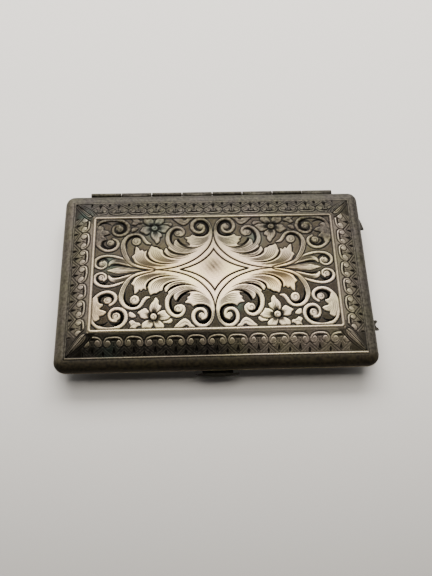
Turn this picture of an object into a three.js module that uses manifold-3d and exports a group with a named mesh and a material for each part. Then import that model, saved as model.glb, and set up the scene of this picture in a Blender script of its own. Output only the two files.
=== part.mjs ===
// A flat silver needle case: two shallow pressed shells hinged along one long side, with a sprung catch worked by
// a button on the other, a felt needle pad in the base and a sprung bar in the lid that holds needle packets.
// Millimetres, +Z up. The origin is the middle of the flat underside. The hinge is at +Y and the button at -Y.
import * as THREE from "three";
import { mergeVertices } from "three/addons/utils/BufferGeometryUtils.js";
import Module from "manifold-3d";

const wasm = await Module();
wasm.setup();

// ---- driving dimensions ----
const CASE_LENGTH = 127.4;
const CASE_DEPTH = 78.2;
const SHELL_HEIGHT = 7.5; // one shell, from its rim to its flat panel
const SHEET = 0.8; // thickness of the pressed sheet
const PARTING_GAP = 0.3; // between the two rims
const FIT_GAP = 0.3; // between a piece and the one that it is soldered to or rests on

const BORDER_WIDTH = 9.3; // the sloping ornamented border, in plan
const BORDER_DROP = 4.2;
const EDGE_WIDTH = 4.4; // the plain rounded edge outside it, in plan
const EDGE_STEPS = 6;
const RIM_RADIUS = 5; // corner of the rim, in plan
const MITRE_RADIUS = 0.5; // corner of the border's outer line
const PANEL_RADIUS = 1.6; // corner of the flat panel
const CORNER_STEPS = 6;
const BEAD_WIDTH = 1.2; // the raised line round the lid's panel
const BEAD_HEIGHT = 0.3;

const HINGE_LENGTH = 106.4;
const KNUCKLE_COUNT = 8;
const KNUCKLE_RADIUS = 1.1;
const KNUCKLE_BORE = 0.62;
const KNUCKLE_END_GAP = 0.3;
const HINGE_PIN_RADIUS = 0.5;
const ROUND_SIDES = 20;

const BUTTON_LENGTH = 17.4;
const BUTTON_REACH = 2.3; // how far it stands out past the rim
const BUTTON_HEIGHT = 2.3;
const BUTTON_TRAVEL = 1.1;

// ---- worked out from them ----
const HALF_X = CASE_LENGTH / 2;
const HALF_Y = CASE_DEPTH / 2;
const EDGE_DROP = SHELL_HEIGHT - BORDER_DROP;
const LINE_X = HALF_X - EDGE_WIDTH; // the border's outer line
const LINE_Y = HALF_Y - EDGE_WIDTH;
const PANEL_X = LINE_X - BORDER_WIDTH;
const PANEL_Y = LINE_Y - BORDER_WIDTH;
const BASE_RIM_Z = SHELL_HEIGHT;
const LID_RIM_Z = BASE_RIM_Z + PARTING_GAP;
const PARTING_Z = (BASE_RIM_Z + LID_RIM_Z) / 2;
const LID_INNER_Z = LID_RIM_Z + SHELL_HEIGHT - SHEET;
const HINGE_Y = HALF_Y + KNUCKLE_RADIUS + 0.15;

const silver = new THREE.MeshStandardMaterial({ color: 0xa59d90, roughness: 0.4, metalness: 1 });
const gilt = new THREE.MeshStandardMaterial({ color: 0xc9a45c, roughness: 0.35, metalness: 1 });
const steel = new THREE.MeshStandardMaterial({ color: 0x8d8d8c, roughness: 0.35, metalness: 1 });
const felt = new THREE.MeshStandardMaterial({ color: 0x5c1a26, roughness: 1, metalness: 0 });

const needleCase = new THREE.Group();

function add(name, geometry, material, x = 0, y = 0, z = 0) {
  const mesh = new THREE.Mesh(geometry, material);
  mesh.name = name;
  mesh.position.set(x, y, z);
  needleCase.add(mesh);
  return mesh;
}

// ---- solids by cutting and joining ----
function toSolid(geometry) {
  const bare = geometry.clone();
  bare.deleteAttribute("normal");
  bare.deleteAttribute("uv");
  const merged = mergeVertices(bare, 1e-4);
  const mesh = new wasm.Mesh({
    numProp: 3,
    vertProperties: new Float32Array(merged.attributes.position.array),
    triVerts: new Uint32Array(merged.index.array),
  });
  return new wasm.Manifold(mesh);
}

function toGeometry(solid) {
  const mesh = solid.getMesh();
  const geometry = new THREE.BufferGeometry();
  geometry.setAttribute("position", new THREE.BufferAttribute(new Float32Array(mesh.vertProperties), 3));
  geometry.setIndex(new THREE.BufferAttribute(new Uint32Array(mesh.triVerts), 1));
  return geometry;
}

const joined = (...geometries) => toGeometry(geometries.map(toSolid).reduce((a, b) => a.add(b)));
const cut = (body, ...tools) => toGeometry(tools.map(toSolid).reduce((a, b) => a.subtract(b), toSolid(body)));

// A box given by its lowest and highest corners.
function block(x0, y0, z0, x1, y1, z1) {
  const geometry = new THREE.BoxGeometry(x1 - x0, y1 - y0, z1 - z0);
  return geometry.translate((x0 + x1) / 2, (y0 + y1) / 2, (z0 + z1) / 2);
}

// A round bar or a tube along X, from x0 to x1, about the line at (y, z).
function rodAlongX(x0, x1, y, z, radius, bore = 0, sides = ROUND_SIDES) {
  const profile = [
    new THREE.Vector2(bore, x0),
    new THREE.Vector2(radius, x0),
    new THREE.Vector2(radius, x1),
    new THREE.Vector2(bore, x1),
  ];
  if (bore > 0) profile.push(profile[0].clone());
  return new THREE.LatheGeometry(profile, sides).rotateZ(-Math.PI / 2).translate(0, y, z);
}

// A round bar along Y, from y0 to y1, about the line at (x, z).
function rodAlongY(y0, y1, x, z, radius) {
  const geometry = new THREE.CylinderGeometry(radius, radius, y1 - y0, ROUND_SIDES);
  return geometry.translate(x, (y0 + y1) / 2, z);
}

// ---- the two shells ----
// One level of a shell: a rectangle with round corners, as a ring of points at height z.
function ring(halfX, halfY, radius, z) {
  const points = [];
  const centres = [
    [1, 1, 0],
    [-1, 1, 1],
    [-1, -1, 2],
    [1, -1, 3],
  ];
  for (const [signX, signY, quarter] of centres) {
    for (let i = 0; i <= CORNER_STEPS; i++) {
      const angle = ((quarter + i / CORNER_STEPS) * Math.PI) / 2;
      const x = signX * (halfX - radius) + radius * Math.cos(angle);
      const y = signY * (halfY - radius) + radius * Math.sin(angle);
      points.push(new THREE.Vector3(x, y, z));
    }
  }
  return points;
}

// A closed surface through rings of equal length, with a flat cap on the first and the last.
function loft(rings) {
  const count = rings[0].length;
  const positions = rings.flat().flatMap((p) => [p.x, p.y, p.z]);
  const indices = [];
  for (let r = 0; r + 1 < rings.length; r++) {
    for (let i = 0; i < count; i++) {
      const a = r * count + i;
      const b = r * count + ((i + 1) % count);
      indices.push(a, a + count, b, b, a + count, b + count);
    }
  }
  const last = (rings.length - 1) * count;
  for (let i = 1; i + 1 < count; i++) {
    indices.push(0, i, i + 1);
    indices.push(last, last + i + 1, last + i);
  }
  const geometry = new THREE.BufferGeometry();
  geometry.setAttribute("position", new THREE.Float32BufferAttribute(positions, 3));
  geometry.setIndex(indices);
  return geometry;
}

// The rounded edge from the border's line (share 0) to the rim (share 1): how far out and how far down it is.
function edgeAt(share) {
  const angle = (share * Math.PI) / 2;
  return { out: EDGE_WIDTH * Math.sin(angle), down: EDGE_DROP * (1 - Math.cos(angle)) };
}

// A shell that opens downwards, with its rim at z = 0. inset is 0 outside and SHEET inside.
function shellLevels(inset) {
  const top = SHELL_HEIGHT - inset;
  const levels = [ring(PANEL_X - inset / 3, PANEL_Y - inset / 3, PANEL_RADIUS, top)];
  for (let i = 0; i <= EDGE_STEPS; i++) {
    const share = i / EDGE_STEPS;
    const { out, down } = edgeAt(share);
    const halfX = LINE_X + out - inset * (0.4 + 0.6 * share);
    const halfY = LINE_Y + out - inset * (0.4 + 0.6 * share);
    const radius = MITRE_RADIUS + (RIM_RADIUS - MITRE_RADIUS) * share - inset * share;
    const z = (SHELL_HEIGHT - BORDER_DROP - down) * (1 - (inset / EDGE_DROP) * (1 - share) * 0.95);
    levels.push(ring(halfX, halfY, Math.max(radius, 0.3), z));
  }
  return levels;
}

function shell(withBead) {
  const outside = shellLevels(0);
  if (withBead) {
    const bead = (inset, rise) => ring(PANEL_X - inset, PANEL_Y - inset, PANEL_RADIUS, SHELL_HEIGHT + rise);
    outside.unshift(
      bead(BEAD_WIDTH, 0),
      bead(BEAD_WIDTH * 0.75, BEAD_HEIGHT),
      bead(BEAD_WIDTH * 0.25, BEAD_HEIGHT),
    );
  }
  return loft([...outside, ...shellLevels(SHEET).reverse()]);
}

add("lid_shell", shell(true), silver, 0, 0, LID_RIM_Z);

// The base is the same pan turned over, with no bead, and with a slot in its front wall for the button's stem.
const STEM_HALF = 6;
const STEM_LOW = 5.1;
const STEM_HIGH = 6.3;
const baseShell = shell(false).rotateX(Math.PI).translate(0, 0, BASE_RIM_Z);
const stemSlot = block(
  -STEM_HALF - FIT_GAP, -HALF_Y - 1, STEM_LOW - FIT_GAP,
  STEM_HALF + FIT_GAP, -LINE_Y + 1, STEM_HIGH + FIT_GAP,
);
add("base_shell", cut(baseShell, stemSlot), silver);

// ---- the bezel: a thin upright strip soldered inside the base's rim, which the lid closes over ----
const BEZEL_THICK = 0.7;
const BEZEL_LOW = BASE_RIM_Z - 0.9;
const BEZEL_HIGH = LID_RIM_Z + 1;
const BEZEL_CHAMFER = 0.3; // on its outer top edge
const bezelRing = (inset, z) => {
  const offset = SHEET + FIT_GAP + inset;
  return ring(HALF_X - offset, HALF_Y - offset, RIM_RADIUS - offset, z);
};
const bezelLoop = loft([
  bezelRing(BEZEL_CHAMFER, BEZEL_HIGH),
  bezelRing(0, BEZEL_HIGH - BEZEL_CHAMFER),
  bezelRing(0, BEZEL_LOW),
]);
const bezelHole = loft([bezelRing(BEZEL_THICK, BEZEL_HIGH + 1), bezelRing(BEZEL_THICK, BEZEL_LOW - 1)]);
add("base_bezel", cut(bezelLoop, bezelHole), silver);

// ---- the hinge: tubes soldered by turns to the base and to the lid, on one pin ----
const WEB_THICK = 0.8; // the foot that joins a knuckle to its shell's back wall
const knuckleStep = HINGE_LENGTH / KNUCKLE_COUNT;
for (let i = 0; i < KNUCKLE_COUNT; i++) {
  const onLid = i % 2 === 1;
  const x0 = -HINGE_LENGTH / 2 + i * knuckleStep + KNUCKLE_END_GAP / 2;
  const x1 = x0 + knuckleStep - KNUCKLE_END_GAP;
  const side = onLid ? 1 : -1;
  const near = PARTING_Z + side * (PARTING_GAP / 2 + 0.1);
  const far = near + side * WEB_THICK;
  const web = block(x0, HALF_Y + 0.05, Math.min(near, far), x1, HINGE_Y, Math.max(near, far));
  const tube = rodAlongX(x0, x1, HINGE_Y, PARTING_Z, KNUCKLE_RADIUS);
  const bore = rodAlongX(x0 - 1, x1 + 1, HINGE_Y, PARTING_Z, KNUCKLE_BORE);
  const name = `${onLid ? "lid" : "base"}_knuckle_${Math.floor(i / 2) + 1}`;
  add(name, cut(joined(web, tube), bore), silver);
}
add("hinge_pin", rodAlongX(-HINGE_LENGTH / 2, HINGE_LENGTH / 2, HINGE_Y, PARTING_Z, HINGE_PIN_RADIUS), steel);

// ---- the catch: a button in the base's front wall, on a leaf spring, with a hook that holds the lid's keeper ----
const SPRING_Y = -32.4; // front face of the leaf spring
const SPRING_THICK = 0.4;
const SPRING_HALF = 24;
const SPRING_LOW = 4.6;
const SPRING_HIGH = 6.6;

// The button's cap is a long lens in plan: an arc in front and a flat back that clears the wall by its travel.
const capBack = -HALF_Y - BUTTON_TRAVEL + 0.1;
const capFront = -HALF_Y - BUTTON_REACH;
const capOutline = new THREE.Shape();
capOutline.moveTo(-BUTTON_LENGTH / 2, capBack);
capOutline.quadraticCurveTo(-BUTTON_LENGTH / 4, capFront, 0, capFront);
capOutline.quadraticCurveTo(BUTTON_LENGTH / 4, capFront, BUTTON_LENGTH / 2, capBack);
const capLow = (STEM_LOW + STEM_HIGH - BUTTON_HEIGHT) / 2;
const capBlank = new THREE.ExtrudeGeometry(capOutline, { depth: BUTTON_HEIGHT, bevelEnabled: false, curveSegments: 10 });
capBlank.translate(0, 0, capLow);
const stem = block(-STEM_HALF, capBack - 0.2, STEM_LOW, STEM_HALF, SPRING_Y - 0.05, STEM_HIGH);
add("push_button", joined(capBlank, stem), silver);

// The hook stands on the spring's middle and reaches up into the lid. Its nose stops just short of the keeper.
const HOOK_HALF = 4;
const HOOK_TOP = LID_RIM_Z + 2.6;
const NOSE_FRONT = SPRING_Y - 0.9;
const NOSE_THICK = 0.8;
const hookPlate = block(-HOOK_HALF, SPRING_Y + SPRING_THICK + 0.05, SPRING_LOW, HOOK_HALF, SPRING_Y + 1.35, HOOK_TOP);
const hookNose = block(-HOOK_HALF, NOSE_FRONT, HOOK_TOP - NOSE_THICK, HOOK_HALF, SPRING_Y + 1, HOOK_TOP);
add("catch_hook", joined(hookPlate, hookNose), steel);

// The keeper is an angle soldered inside the lid's front wall, with its ledge under the hook's nose.
const KEEPER_HALF = 6;
const KEEPER_HOLD = 0.8; // how far the nose reaches over the ledge
const KEEPER_BACK = -36.6;
const ledgeTop = HOOK_TOP - NOSE_THICK - FIT_GAP;
const keeperLedge = block(-KEEPER_HALF, KEEPER_BACK, ledgeTop - 0.7, KEEPER_HALF, NOSE_FRONT + KEEPER_HOLD, ledgeTop);
const keeperFoot = block(-KEEPER_HALF, KEEPER_BACK, ledgeTop - 0.7, KEEPER_HALF, KEEPER_BACK + 0.8, LID_RIM_Z + 1.75);
add("catch_keeper", joined(keeperLedge, keeperFoot), silver);

const springStrip = block(-SPRING_HALF, SPRING_Y, SPRING_LOW, SPRING_HALF, SPRING_Y + SPRING_THICK, SPRING_HIGH);
const RIVET_X = SPRING_HALF - 2;
const RIVET_Z = (SPRING_LOW + SPRING_HIGH) / 2;
const RIVET_RADIUS = 0.45;
const rivetHole = (x) => rodAlongY(SPRING_Y - 3, SPRING_Y + 2, x, RIVET_Z, RIVET_RADIUS + 0.12);
add("latch_spring", cut(springStrip, rivetHole(-RIVET_X), rivetHole(RIVET_X)), steel);

for (const [side, word] of [[-1, "left"], [1, "right"]]) {
  const x = side * RIVET_X;
  // A block soldered to the base's slope carries each end of the spring, and a round-headed rivet holds it.
  const post = block(x - 1.8, SPRING_Y - 1.4, 4.9, x + 1.8, SPRING_Y - 0.05, SPRING_HIGH);
  add(`spring_block_${word}`, cut(post, rivetHole(x)), silver);
  const shank = rodAlongY(SPRING_Y - 1.4, SPRING_Y + SPRING_THICK + 0.3, x, RIVET_Z, RIVET_RADIUS);
  const head = rodAlongY(SPRING_Y + SPRING_THICK + 0.05, SPRING_Y + SPRING_THICK + 0.65, x, RIVET_Z, 0.85);
  add(`spring_rivet_${word}`, joined(shank, head), steel);
}

// ---- the two chain lugs on the base's right end ----
const LUG_Z = 6.1;
const LUG_THICK = 1.3;
const LUG_SOLDER_GAP = 0.05;
const roundBase = loft(shellLevels(-LUG_SOLDER_GAP)).rotateX(Math.PI).translate(0, 0, BASE_RIM_Z);

// A lug is a flat outline, in distances out from the rim and along it, with its root cut to the rounded edge.
function lug(name, y, outline) {
  const shape = new THREE.Shape(outline.map(([out, along]) => new THREE.Vector2(HALF_X + out, y + along)));
  const blank = new THREE.ExtrudeGeometry(shape, { depth: LUG_THICK, bevelEnabled: false });
  blank.translate(0, 0, LUG_Z - LUG_THICK / 2);
  add(name, cut(blank, roundBase), silver);
}

// The rear one is worn to a fin, and the front one to two horns with the eye between them open.
lug("rear_chain_lug", 24.6, [[-1, -2.4], [1.95, -2.5], [1.2, 0.4], [0.6, 2.4], [-1, 2.6]]);
lug("front_chain_lug", -21.9, [
  [-1, -2], [2.1, -2.1], [1.8, -1.3], [1.15, -0.9], [0.95, -0.1],
  [1.15, 0.7], [1.9, 1.3], [1.5, 2], [-1, 2],
]);

// ---- the needle pad in the base: felt under a gilt retaining frame ----
const FLOOR_Z = SHEET;
const PAD_HALF_X = 47.6;
const PAD_HALF_Y = 22.9;
const PAD_TOP = 2.3;
add("needle_pad", block(-PAD_HALF_X, -PAD_HALF_Y, FLOOR_Z + 0.05, PAD_HALF_X, PAD_HALF_Y, PAD_TOP), felt);

const FRAME_BAND = 3; // width of the frame's flat
const frameRing = (inset, z) => ring(PAD_HALF_X + 0.6 - inset, PAD_HALF_Y + 0.6 - inset, 1.5, z);
const frameTop = PAD_TOP + FIT_GAP + 0.5;
const frameBlank = loft([frameRing(0, frameTop), frameRing(0, PAD_TOP + FIT_GAP)]);
const frameHole = loft([frameRing(FRAME_BAND, frameTop + 1), frameRing(FRAME_BAND, PAD_TOP - 1)]);
add("pad_frame", cut(frameBlank, frameHole), gilt);

// ---- the packet bar in the lid: a strip on two arms, sprung towards the lid ----
const BAR_AXIS_Y = 13;
const BAR_AXIS_Z = LID_INNER_Z - 4.6;
const BAR_ARM = 14; // from the axis to the middle of the strip
const ARM_X = 45.2; // inner face of each arm
const ARM_THICK = 0.8;
const STRIP_WIDTH = 6;
const STRIP_THICK = 0.6;
const BAR_PIN_RADIUS = 0.5;

const stripY = BAR_AXIS_Y - BAR_ARM;
const armOuter = ARM_X + ARM_THICK;
const stripPlate = block(
  -armOuter, stripY - STRIP_WIDTH / 2, BAR_AXIS_Z - STRIP_THICK / 2,
  armOuter, stripY + STRIP_WIDTH / 2, BAR_AXIS_Z + STRIP_THICK / 2,
);
const barParts = [stripPlate];
for (const side of [-1, 1]) {
  const x0 = Math.min(side * ARM_X, side * armOuter);
  barParts.push(block(x0, stripY, BAR_AXIS_Z - 1, x0 + ARM_THICK, BAR_AXIS_Y, BAR_AXIS_Z + 1));
  barParts.push(rodAlongX(x0, x0 + ARM_THICK, BAR_AXIS_Y, BAR_AXIS_Z, 1.3));
}
const barBore = rodAlongX(-ARM_X - 2, ARM_X + 2, BAR_AXIS_Y, BAR_AXIS_Z, BAR_PIN_RADIUS + 0.1);
add("packet_bar", cut(joined(...barParts), barBore), gilt);

for (const [side, word] of [[-1, "left"], [1, "right"]]) {
  const inner = side * (armOuter + 0.4);
  const outer = inner + side * 0.9;
  const [x0, x1] = [Math.min(inner, outer), Math.max(inner, outer)];
  // The bracket is soldered to the lid's inner face. Its pin carries the bar's arm and a small coiled spring.
  const plate = block(x0, BAR_AXIS_Y - 1.6, BAR_AXIS_Z, x1, BAR_AXIS_Y + 1.6, LID_INNER_Z - 0.05);
  const eye = rodAlongX(x0, x1, BAR_AXIS_Y, BAR_AXIS_Z, 1.6);
  const bore = rodAlongX(x0 - 1, x1 + 1, BAR_AXIS_Y, BAR_AXIS_Z, BAR_PIN_RADIUS + 0.1);
  add(`bar_bracket_${word}`, cut(joined(plate, eye), bore), gilt);

  const pinEnds = [side * (ARM_X - 3.4), side * (armOuter + 1.5)];
  add(
    `bar_pin_${word}`,
    rodAlongX(Math.min(...pinEnds), Math.max(...pinEnds), BAR_AXIS_Y, BAR_AXIS_Z, BAR_PIN_RADIUS),
    steel,
  );
  const coilEnds = [side * (ARM_X - 3), side * (ARM_X - 0.4)];
  add(
    `bar_spring_${word}`,
    rodAlongX(Math.min(...coilEnds), Math.max(...coilEnds), BAR_AXIS_Y, BAR_AXIS_Z, 1.25, 0.75),
    steel,
  );
}

export default needleCase;
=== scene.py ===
import math

import bmesh
import bpy
import numpy as np
from mathutils import Matrix, Vector


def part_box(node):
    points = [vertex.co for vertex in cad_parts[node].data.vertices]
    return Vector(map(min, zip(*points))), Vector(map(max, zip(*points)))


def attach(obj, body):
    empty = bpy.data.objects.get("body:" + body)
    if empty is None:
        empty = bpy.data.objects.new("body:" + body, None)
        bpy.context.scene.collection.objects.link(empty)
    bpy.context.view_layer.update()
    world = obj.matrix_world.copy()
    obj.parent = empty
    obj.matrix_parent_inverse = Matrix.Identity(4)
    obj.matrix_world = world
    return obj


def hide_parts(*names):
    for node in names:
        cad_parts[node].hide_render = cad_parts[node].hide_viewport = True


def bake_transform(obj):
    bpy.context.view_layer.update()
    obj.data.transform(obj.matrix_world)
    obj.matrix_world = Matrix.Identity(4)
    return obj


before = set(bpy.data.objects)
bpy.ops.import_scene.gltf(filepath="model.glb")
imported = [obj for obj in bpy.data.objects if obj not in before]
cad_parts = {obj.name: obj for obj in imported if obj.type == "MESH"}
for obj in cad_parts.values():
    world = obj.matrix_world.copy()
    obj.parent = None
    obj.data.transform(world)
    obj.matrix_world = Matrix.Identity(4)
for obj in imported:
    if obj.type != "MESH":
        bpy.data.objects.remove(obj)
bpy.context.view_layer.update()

# ---- Camera, table and light ----
# A pale matt table top under a large soft light above and behind the case and a long low one further back;
# its colour is painted darker towards the viewer, a painted falloff of that light. The camera looks down from
# the front, a little to the left of the middle.

camera = bpy.data.objects.new("camera", bpy.data.cameras.new("camera"))
bpy.context.scene.collection.objects.link(camera)
bpy.context.scene.camera = camera
camera.data.sensor_width = 36
camera.data.lens = 35.0
camera.data.clip_start = 0.01
turn = Matrix.Rotation(-0.0772, 4, "Z") @ Matrix.Rotation(0.3951, 4, "X") @ Matrix.Rotation(0.0506, 4, "Z")
camera.matrix_world = Matrix.Translation((-0.00649, -0.09329, 0.22085)) @ turn

bpy.ops.mesh.primitive_plane_add(size=3, location=(0, 0, 0))
table = bpy.context.active_object
table.name = "table_top"


def new_material(name):
    material = bpy.data.materials.new(name)
    material.use_nodes = True
    return material, material.node_tree, material.node_tree.nodes["Principled BSDF"]


def math_node(tree, operation, a, b=None, c=None, clamp=False):
    """a, b and c are numbers or sockets, as in the other node helpers."""
    node = tree.nodes.new("ShaderNodeMath")
    node.operation = operation
    node.use_clamp = clamp
    for socket, value in zip(node.inputs, (a, b, c)):
        if value is None:
            continue
        if isinstance(value, (int, float)):
            socket.default_value = value
        else:
            tree.links.new(value, socket)
    return node.outputs[0]


def mix_node(tree, share, a, b, blend="MIX"):
    node = tree.nodes.new("ShaderNodeMix")
    node.data_type = "RGBA"
    node.blend_type = blend
    for socket, value in ((node.inputs["Factor"], share), (node.inputs["A"], a), (node.inputs["B"], b)):
        if isinstance(value, (int, float, tuple)):
            socket.default_value = value
        else:
            tree.links.new(value, socket)
    return node.outputs["Result"]


def range_node(tree, value, low, high, least=0.0, most=1.0):
    """Value from low to high, spread from least to most."""
    node = tree.nodes.new("ShaderNodeMapRange")
    for label, limit in (("From Min", low), ("From Max", high), ("To Min", least), ("To Max", most)):
        node.inputs[label].default_value = limit
    tree.links.new(value, node.inputs["Value"])
    return node.outputs["Result"]


def noise_node(tree, vector, scale, detail=2.0, rough=0.5):
    node = tree.nodes.new("ShaderNodeTexNoise")
    node.inputs["Scale"].default_value = scale
    node.inputs["Detail"].default_value = detail
    node.inputs["Roughness"].default_value = rough
    tree.links.new(vector, node.inputs["Vector"])
    return node.outputs["Fac"]


paper, tree, shader = new_material("matt_table")
shader.inputs["Roughness"].default_value = 0.7
shader.inputs["Specular IOR Level"].default_value = 0.2
place = tree.nodes.new("ShaderNodeTexCoord")
mottle = noise_node(tree, place.outputs["Object"], 2.5, 1.0)
apart = tree.nodes.new("ShaderNodeSeparateXYZ")
tree.links.new(place.outputs["Object"], apart.inputs[0])
# painted falloff: the colour runs darker towards the viewer in place of the back light falling off; the
# mottle is the table's own tone
far = range_node(tree, apart.outputs["Y"], -0.17, 0.01)
mottle_and_painted_falloff = math_node(tree, "MULTIPLY_ADD", mottle, 0.15, far)
shade = mix_node(tree, mottle_and_painted_falloff, (0.13, 0.125, 0.117, 1), (0.67, 0.646, 0.606, 1))
tree.links.new(shade, shader.inputs["Base Color"])
table.data.materials.append(paper)


def soft_light(name, place, size, power, colour):
    light = bpy.data.lights.new(name, "AREA")
    light.shape = "RECTANGLE"
    light.size, light.size_y = size
    light.energy = power
    light.color = colour
    holder = bpy.data.objects.new(name, light)
    bpy.context.scene.collection.objects.link(holder)
    holder.location = place
    holder.rotation_euler = (Vector((0, 0, 0)) - Vector(place)).to_track_quat("-Z", "Y").to_euler()


soft_light("overhead", (0.03, 0.40, 0.80), (1.2, 0.8), 11.8, (1.0, 0.965, 0.92))
soft_light("left_side", (-0.95, 0.40, 0.50), (0.8, 0.6), 2.3, (0.96, 0.98, 1.0))
soft_light("right_side", (0.95, 0.40, 0.50), (0.8, 0.6), 2.3, (0.98, 0.98, 1.0))
soft_light("front_right", (0.42, -0.55, 0.28), (0.25, 0.25), 0.30, (1.0, 0.96, 0.92))
soft_light("back", (0.0, 1.05, 0.80), (1.6, 0.5), 44.0, (1.0, 0.98, 0.96))

world = bpy.data.worlds.new("room")
bpy.context.scene.world = world
world.use_nodes = True
world.node_tree.nodes["Background"].inputs["Color"].default_value = (1.0, 0.98, 0.95, 1)
world.node_tree.nodes["Background"].inputs["Strength"].default_value = 0.034

# ---- Silver: the metal of both shells ----
# Heavily plated sheet, pressed to shape, chased by hand and then blackened. Handling has polished what stands
# high, and the oxide has stayed in every cut.


def group_with(name, inputs, outputs):
    group = bpy.data.node_groups.new(name, "ShaderNodeTree")
    for label, kind, value in inputs:
        socket = group.interface.new_socket(label, in_out="INPUT", socket_type=kind)
        if value is not None:
            socket.default_value = value
    for label, kind in outputs:
        group.interface.new_socket(label, in_out="OUTPUT", socket_type=kind)
    return group, group.nodes.new("NodeGroupInput"), group.nodes.new("NodeGroupOutput")


# Oxide 0 is bare metal and 1 is a blackened cut. Ground is the hatched floor of the relief. The tarnish input
# darkens bare metal with a speckled tarnish, and the meshes also feed it painted shade where a part is darker
# for how the light falls on it. Straw yellows it and Green is the bloom that gathers in corners.
worn, tap, sink = group_with(
    "worn_silver",
    [
        ("Place", "NodeSocketVector", None),
        ("Oxide", "NodeSocketFloat", 0.0),
        ("Ground", "NodeSocketFloat", 0.0),
        ("Age", "NodeSocketFloat", 0.0),
        ("Straw", "NodeSocketFloat", 0.0),
        ("Green", "NodeSocketFloat", 0.0),
    ],
    [
        ("Colour", "NodeSocketColor"),
        ("Roughness", "NodeSocketFloat"),
        ("Metal", "NodeSocketFloat"),
        ("Gloss", "NodeSocketFloat"),
        ("Height", "NodeSocketFloat"),
    ],
)
spots = noise_node(worn, tap.outputs["Place"], 55.0, 4.0, 0.6)
broad = noise_node(worn, tap.outputs["Place"], 22.0, 2.0, 0.5)
grain = noise_node(worn, tap.outputs["Place"], 900.0, 3.0, 0.6)
split = worn.nodes.new("ShaderNodeSeparateXYZ")
worn.links.new(tap.outputs["Place"], split.inputs[0])
# fine level lines that the engraver ran across the sunk ground
waver = math_node(worn, "MULTIPLY", spots, 3.0)
line = math_node(worn, "MULTIPLY", split.outputs["Y"], 2 * math.pi / 0.00042)
line = math_node(worn, "SINE", math_node(worn, "ADD", line, waver))
line = math_node(worn, "MULTIPLY_ADD", line, 0.5, 0.5)
hatch = math_node(worn, "MULTIPLY", line, tap.outputs["Ground"])
bare = mix_node(worn, broad, (0.655, 0.58, 0.437, 1), (0.875, 0.795, 0.62, 1))
aged = mix_node(worn, spots, (0.029, 0.0275, 0.0226, 1), (0.068, 0.0652, 0.055, 1))
grime = mix_node(worn, range_node(worn, grain, 0.38, 0.62), (0.48, 0.46, 0.44, 1), (1.55, 1.53, 1.46, 1))
aged = mix_node(worn, 1.0, aged, grime, "MULTIPLY")
metal = mix_node(worn, tap.outputs["Age"], bare, aged)
ground = mix_node(worn, hatch, (0.029, 0.026, 0.021, 1), (0.0036, 0.0031, 0.0026, 1))
metal = mix_node(worn, tap.outputs["Ground"], metal, ground)
peck = noise_node(worn, tap.outputs["Place"], 2600.0, 3.0, 0.7)
metal = mix_node(worn, range_node(worn, peck, 0.42, 0.70, 0.0, 0.55), metal, aged)
# stains: straw yellow in some places, plum brown in others
patch = range_node(worn, noise_node(worn, tap.outputs["Place"], 85.0, 3.0, 0.6), 0.35, 0.65)
stain = mix_node(worn, patch, (1.0, 0.90, 0.93, 1), (1.0, 0.98, 0.78, 1))
metal = mix_node(worn, 1.0, metal, stain, "MULTIPLY")
straw = mix_node(worn, tap.outputs["Straw"], (1, 1, 1, 1), (1.0, 0.84, 0.44, 1))
metal = mix_node(worn, 1.0, metal, straw, "MULTIPLY")
green = math_node(worn, "MULTIPLY", tap.outputs["Green"], spots)
metal = mix_node(worn, green, metal, (0.045, 0.085, 0.070, 1))
black = mix_node(worn, tap.outputs["Oxide"], metal, (0.0016, 0.0013, 0.001, 1))
worn.links.new(black, sink.inputs["Colour"])
rough = math_node(worn, "MULTIPLY_ADD", grain, 0.18, 0.30)
rough = math_node(worn, "ADD", rough, math_node(worn, "MULTIPLY", tap.outputs["Oxide"], 0.3))
rough = math_node(worn, "ADD", rough, math_node(worn, "MULTIPLY", tap.outputs["Age"], 0.08))
worn.links.new(rough, sink.inputs["Roughness"])
worn.links.new(math_node(worn, "MULTIPLY_ADD", tap.outputs["Oxide"], -0.5, 0.5), sink.inputs["Gloss"])
worn.links.new(math_node(worn, "MULTIPLY_ADD", tap.outputs["Oxide"], -1.0, 1.0), sink.inputs["Metal"])
height = math_node(worn, "MULTIPLY_ADD", hatch, -0.6, math_node(worn, "MULTIPLY", grain, 0.25))
worn.links.new(height, sink.inputs["Height"])


def add_relief(tree, shader, height, strength, distance):
    relief = tree.nodes.new("ShaderNodeBump")
    relief.inputs["Strength"].default_value = strength
    relief.inputs["Distance"].default_value = distance
    tree.links.new(height, relief.inputs["Height"])
    tree.links.new(relief.outputs["Normal"], shader.inputs["Normal"])


def silver_material(name, age, bump=0.25, oxide=0):
    """Worn silver. Mesh attributes add to its tarnish and painted shade and to its oxide, or take from them
    where they are negative.
    """
    material, tree, shader = new_material(name)
    place = tree.nodes.new("ShaderNodeTexCoord")
    wear = tree.nodes.new("ShaderNodeGroup")
    wear.node_tree = worn
    tree.links.new(place.outputs["Object"], wear.inputs["Place"])
    for label, least in (("Oxide", oxide), ("Ground", 0), ("Age", age), ("Straw", 0), ("Green", 0)):
        mask = tree.nodes.new("ShaderNodeAttribute")
        mask.attribute_name = label.lower()
        value = mask.outputs["Fac"]
        if least:
            value = math_node(tree, "ADD", value, least, clamp=True)
        tree.links.new(value, wear.inputs[label])
    for label, socket in (
        ("Colour", "Base Color"),
        ("Roughness", "Roughness"),
        ("Metal", "Metallic"),
        ("Gloss", "Specular IOR Level"),
    ):
        tree.links.new(wear.outputs[label], shader.inputs[socket])
    add_relief(tree, shader, wear.outputs["Height"], bump, 0.00012)
    return material


# ---- Lid panel ----
# The flat middle of the pressed lid, chased by hand: a plain lozenge between scrolls, leaves and four flowers
# on a sunk, hatched ground, inside a raised bead. One quarter is drawn and turned over for the other three.

PANEL_HALF = (50.0, 25.4)  # millimetres, as is every size in this drawing
PANEL_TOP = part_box("lid_shell")[1][2] - 0.0003
LINE = 0.42  # width of the dark line round each raised form


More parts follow.
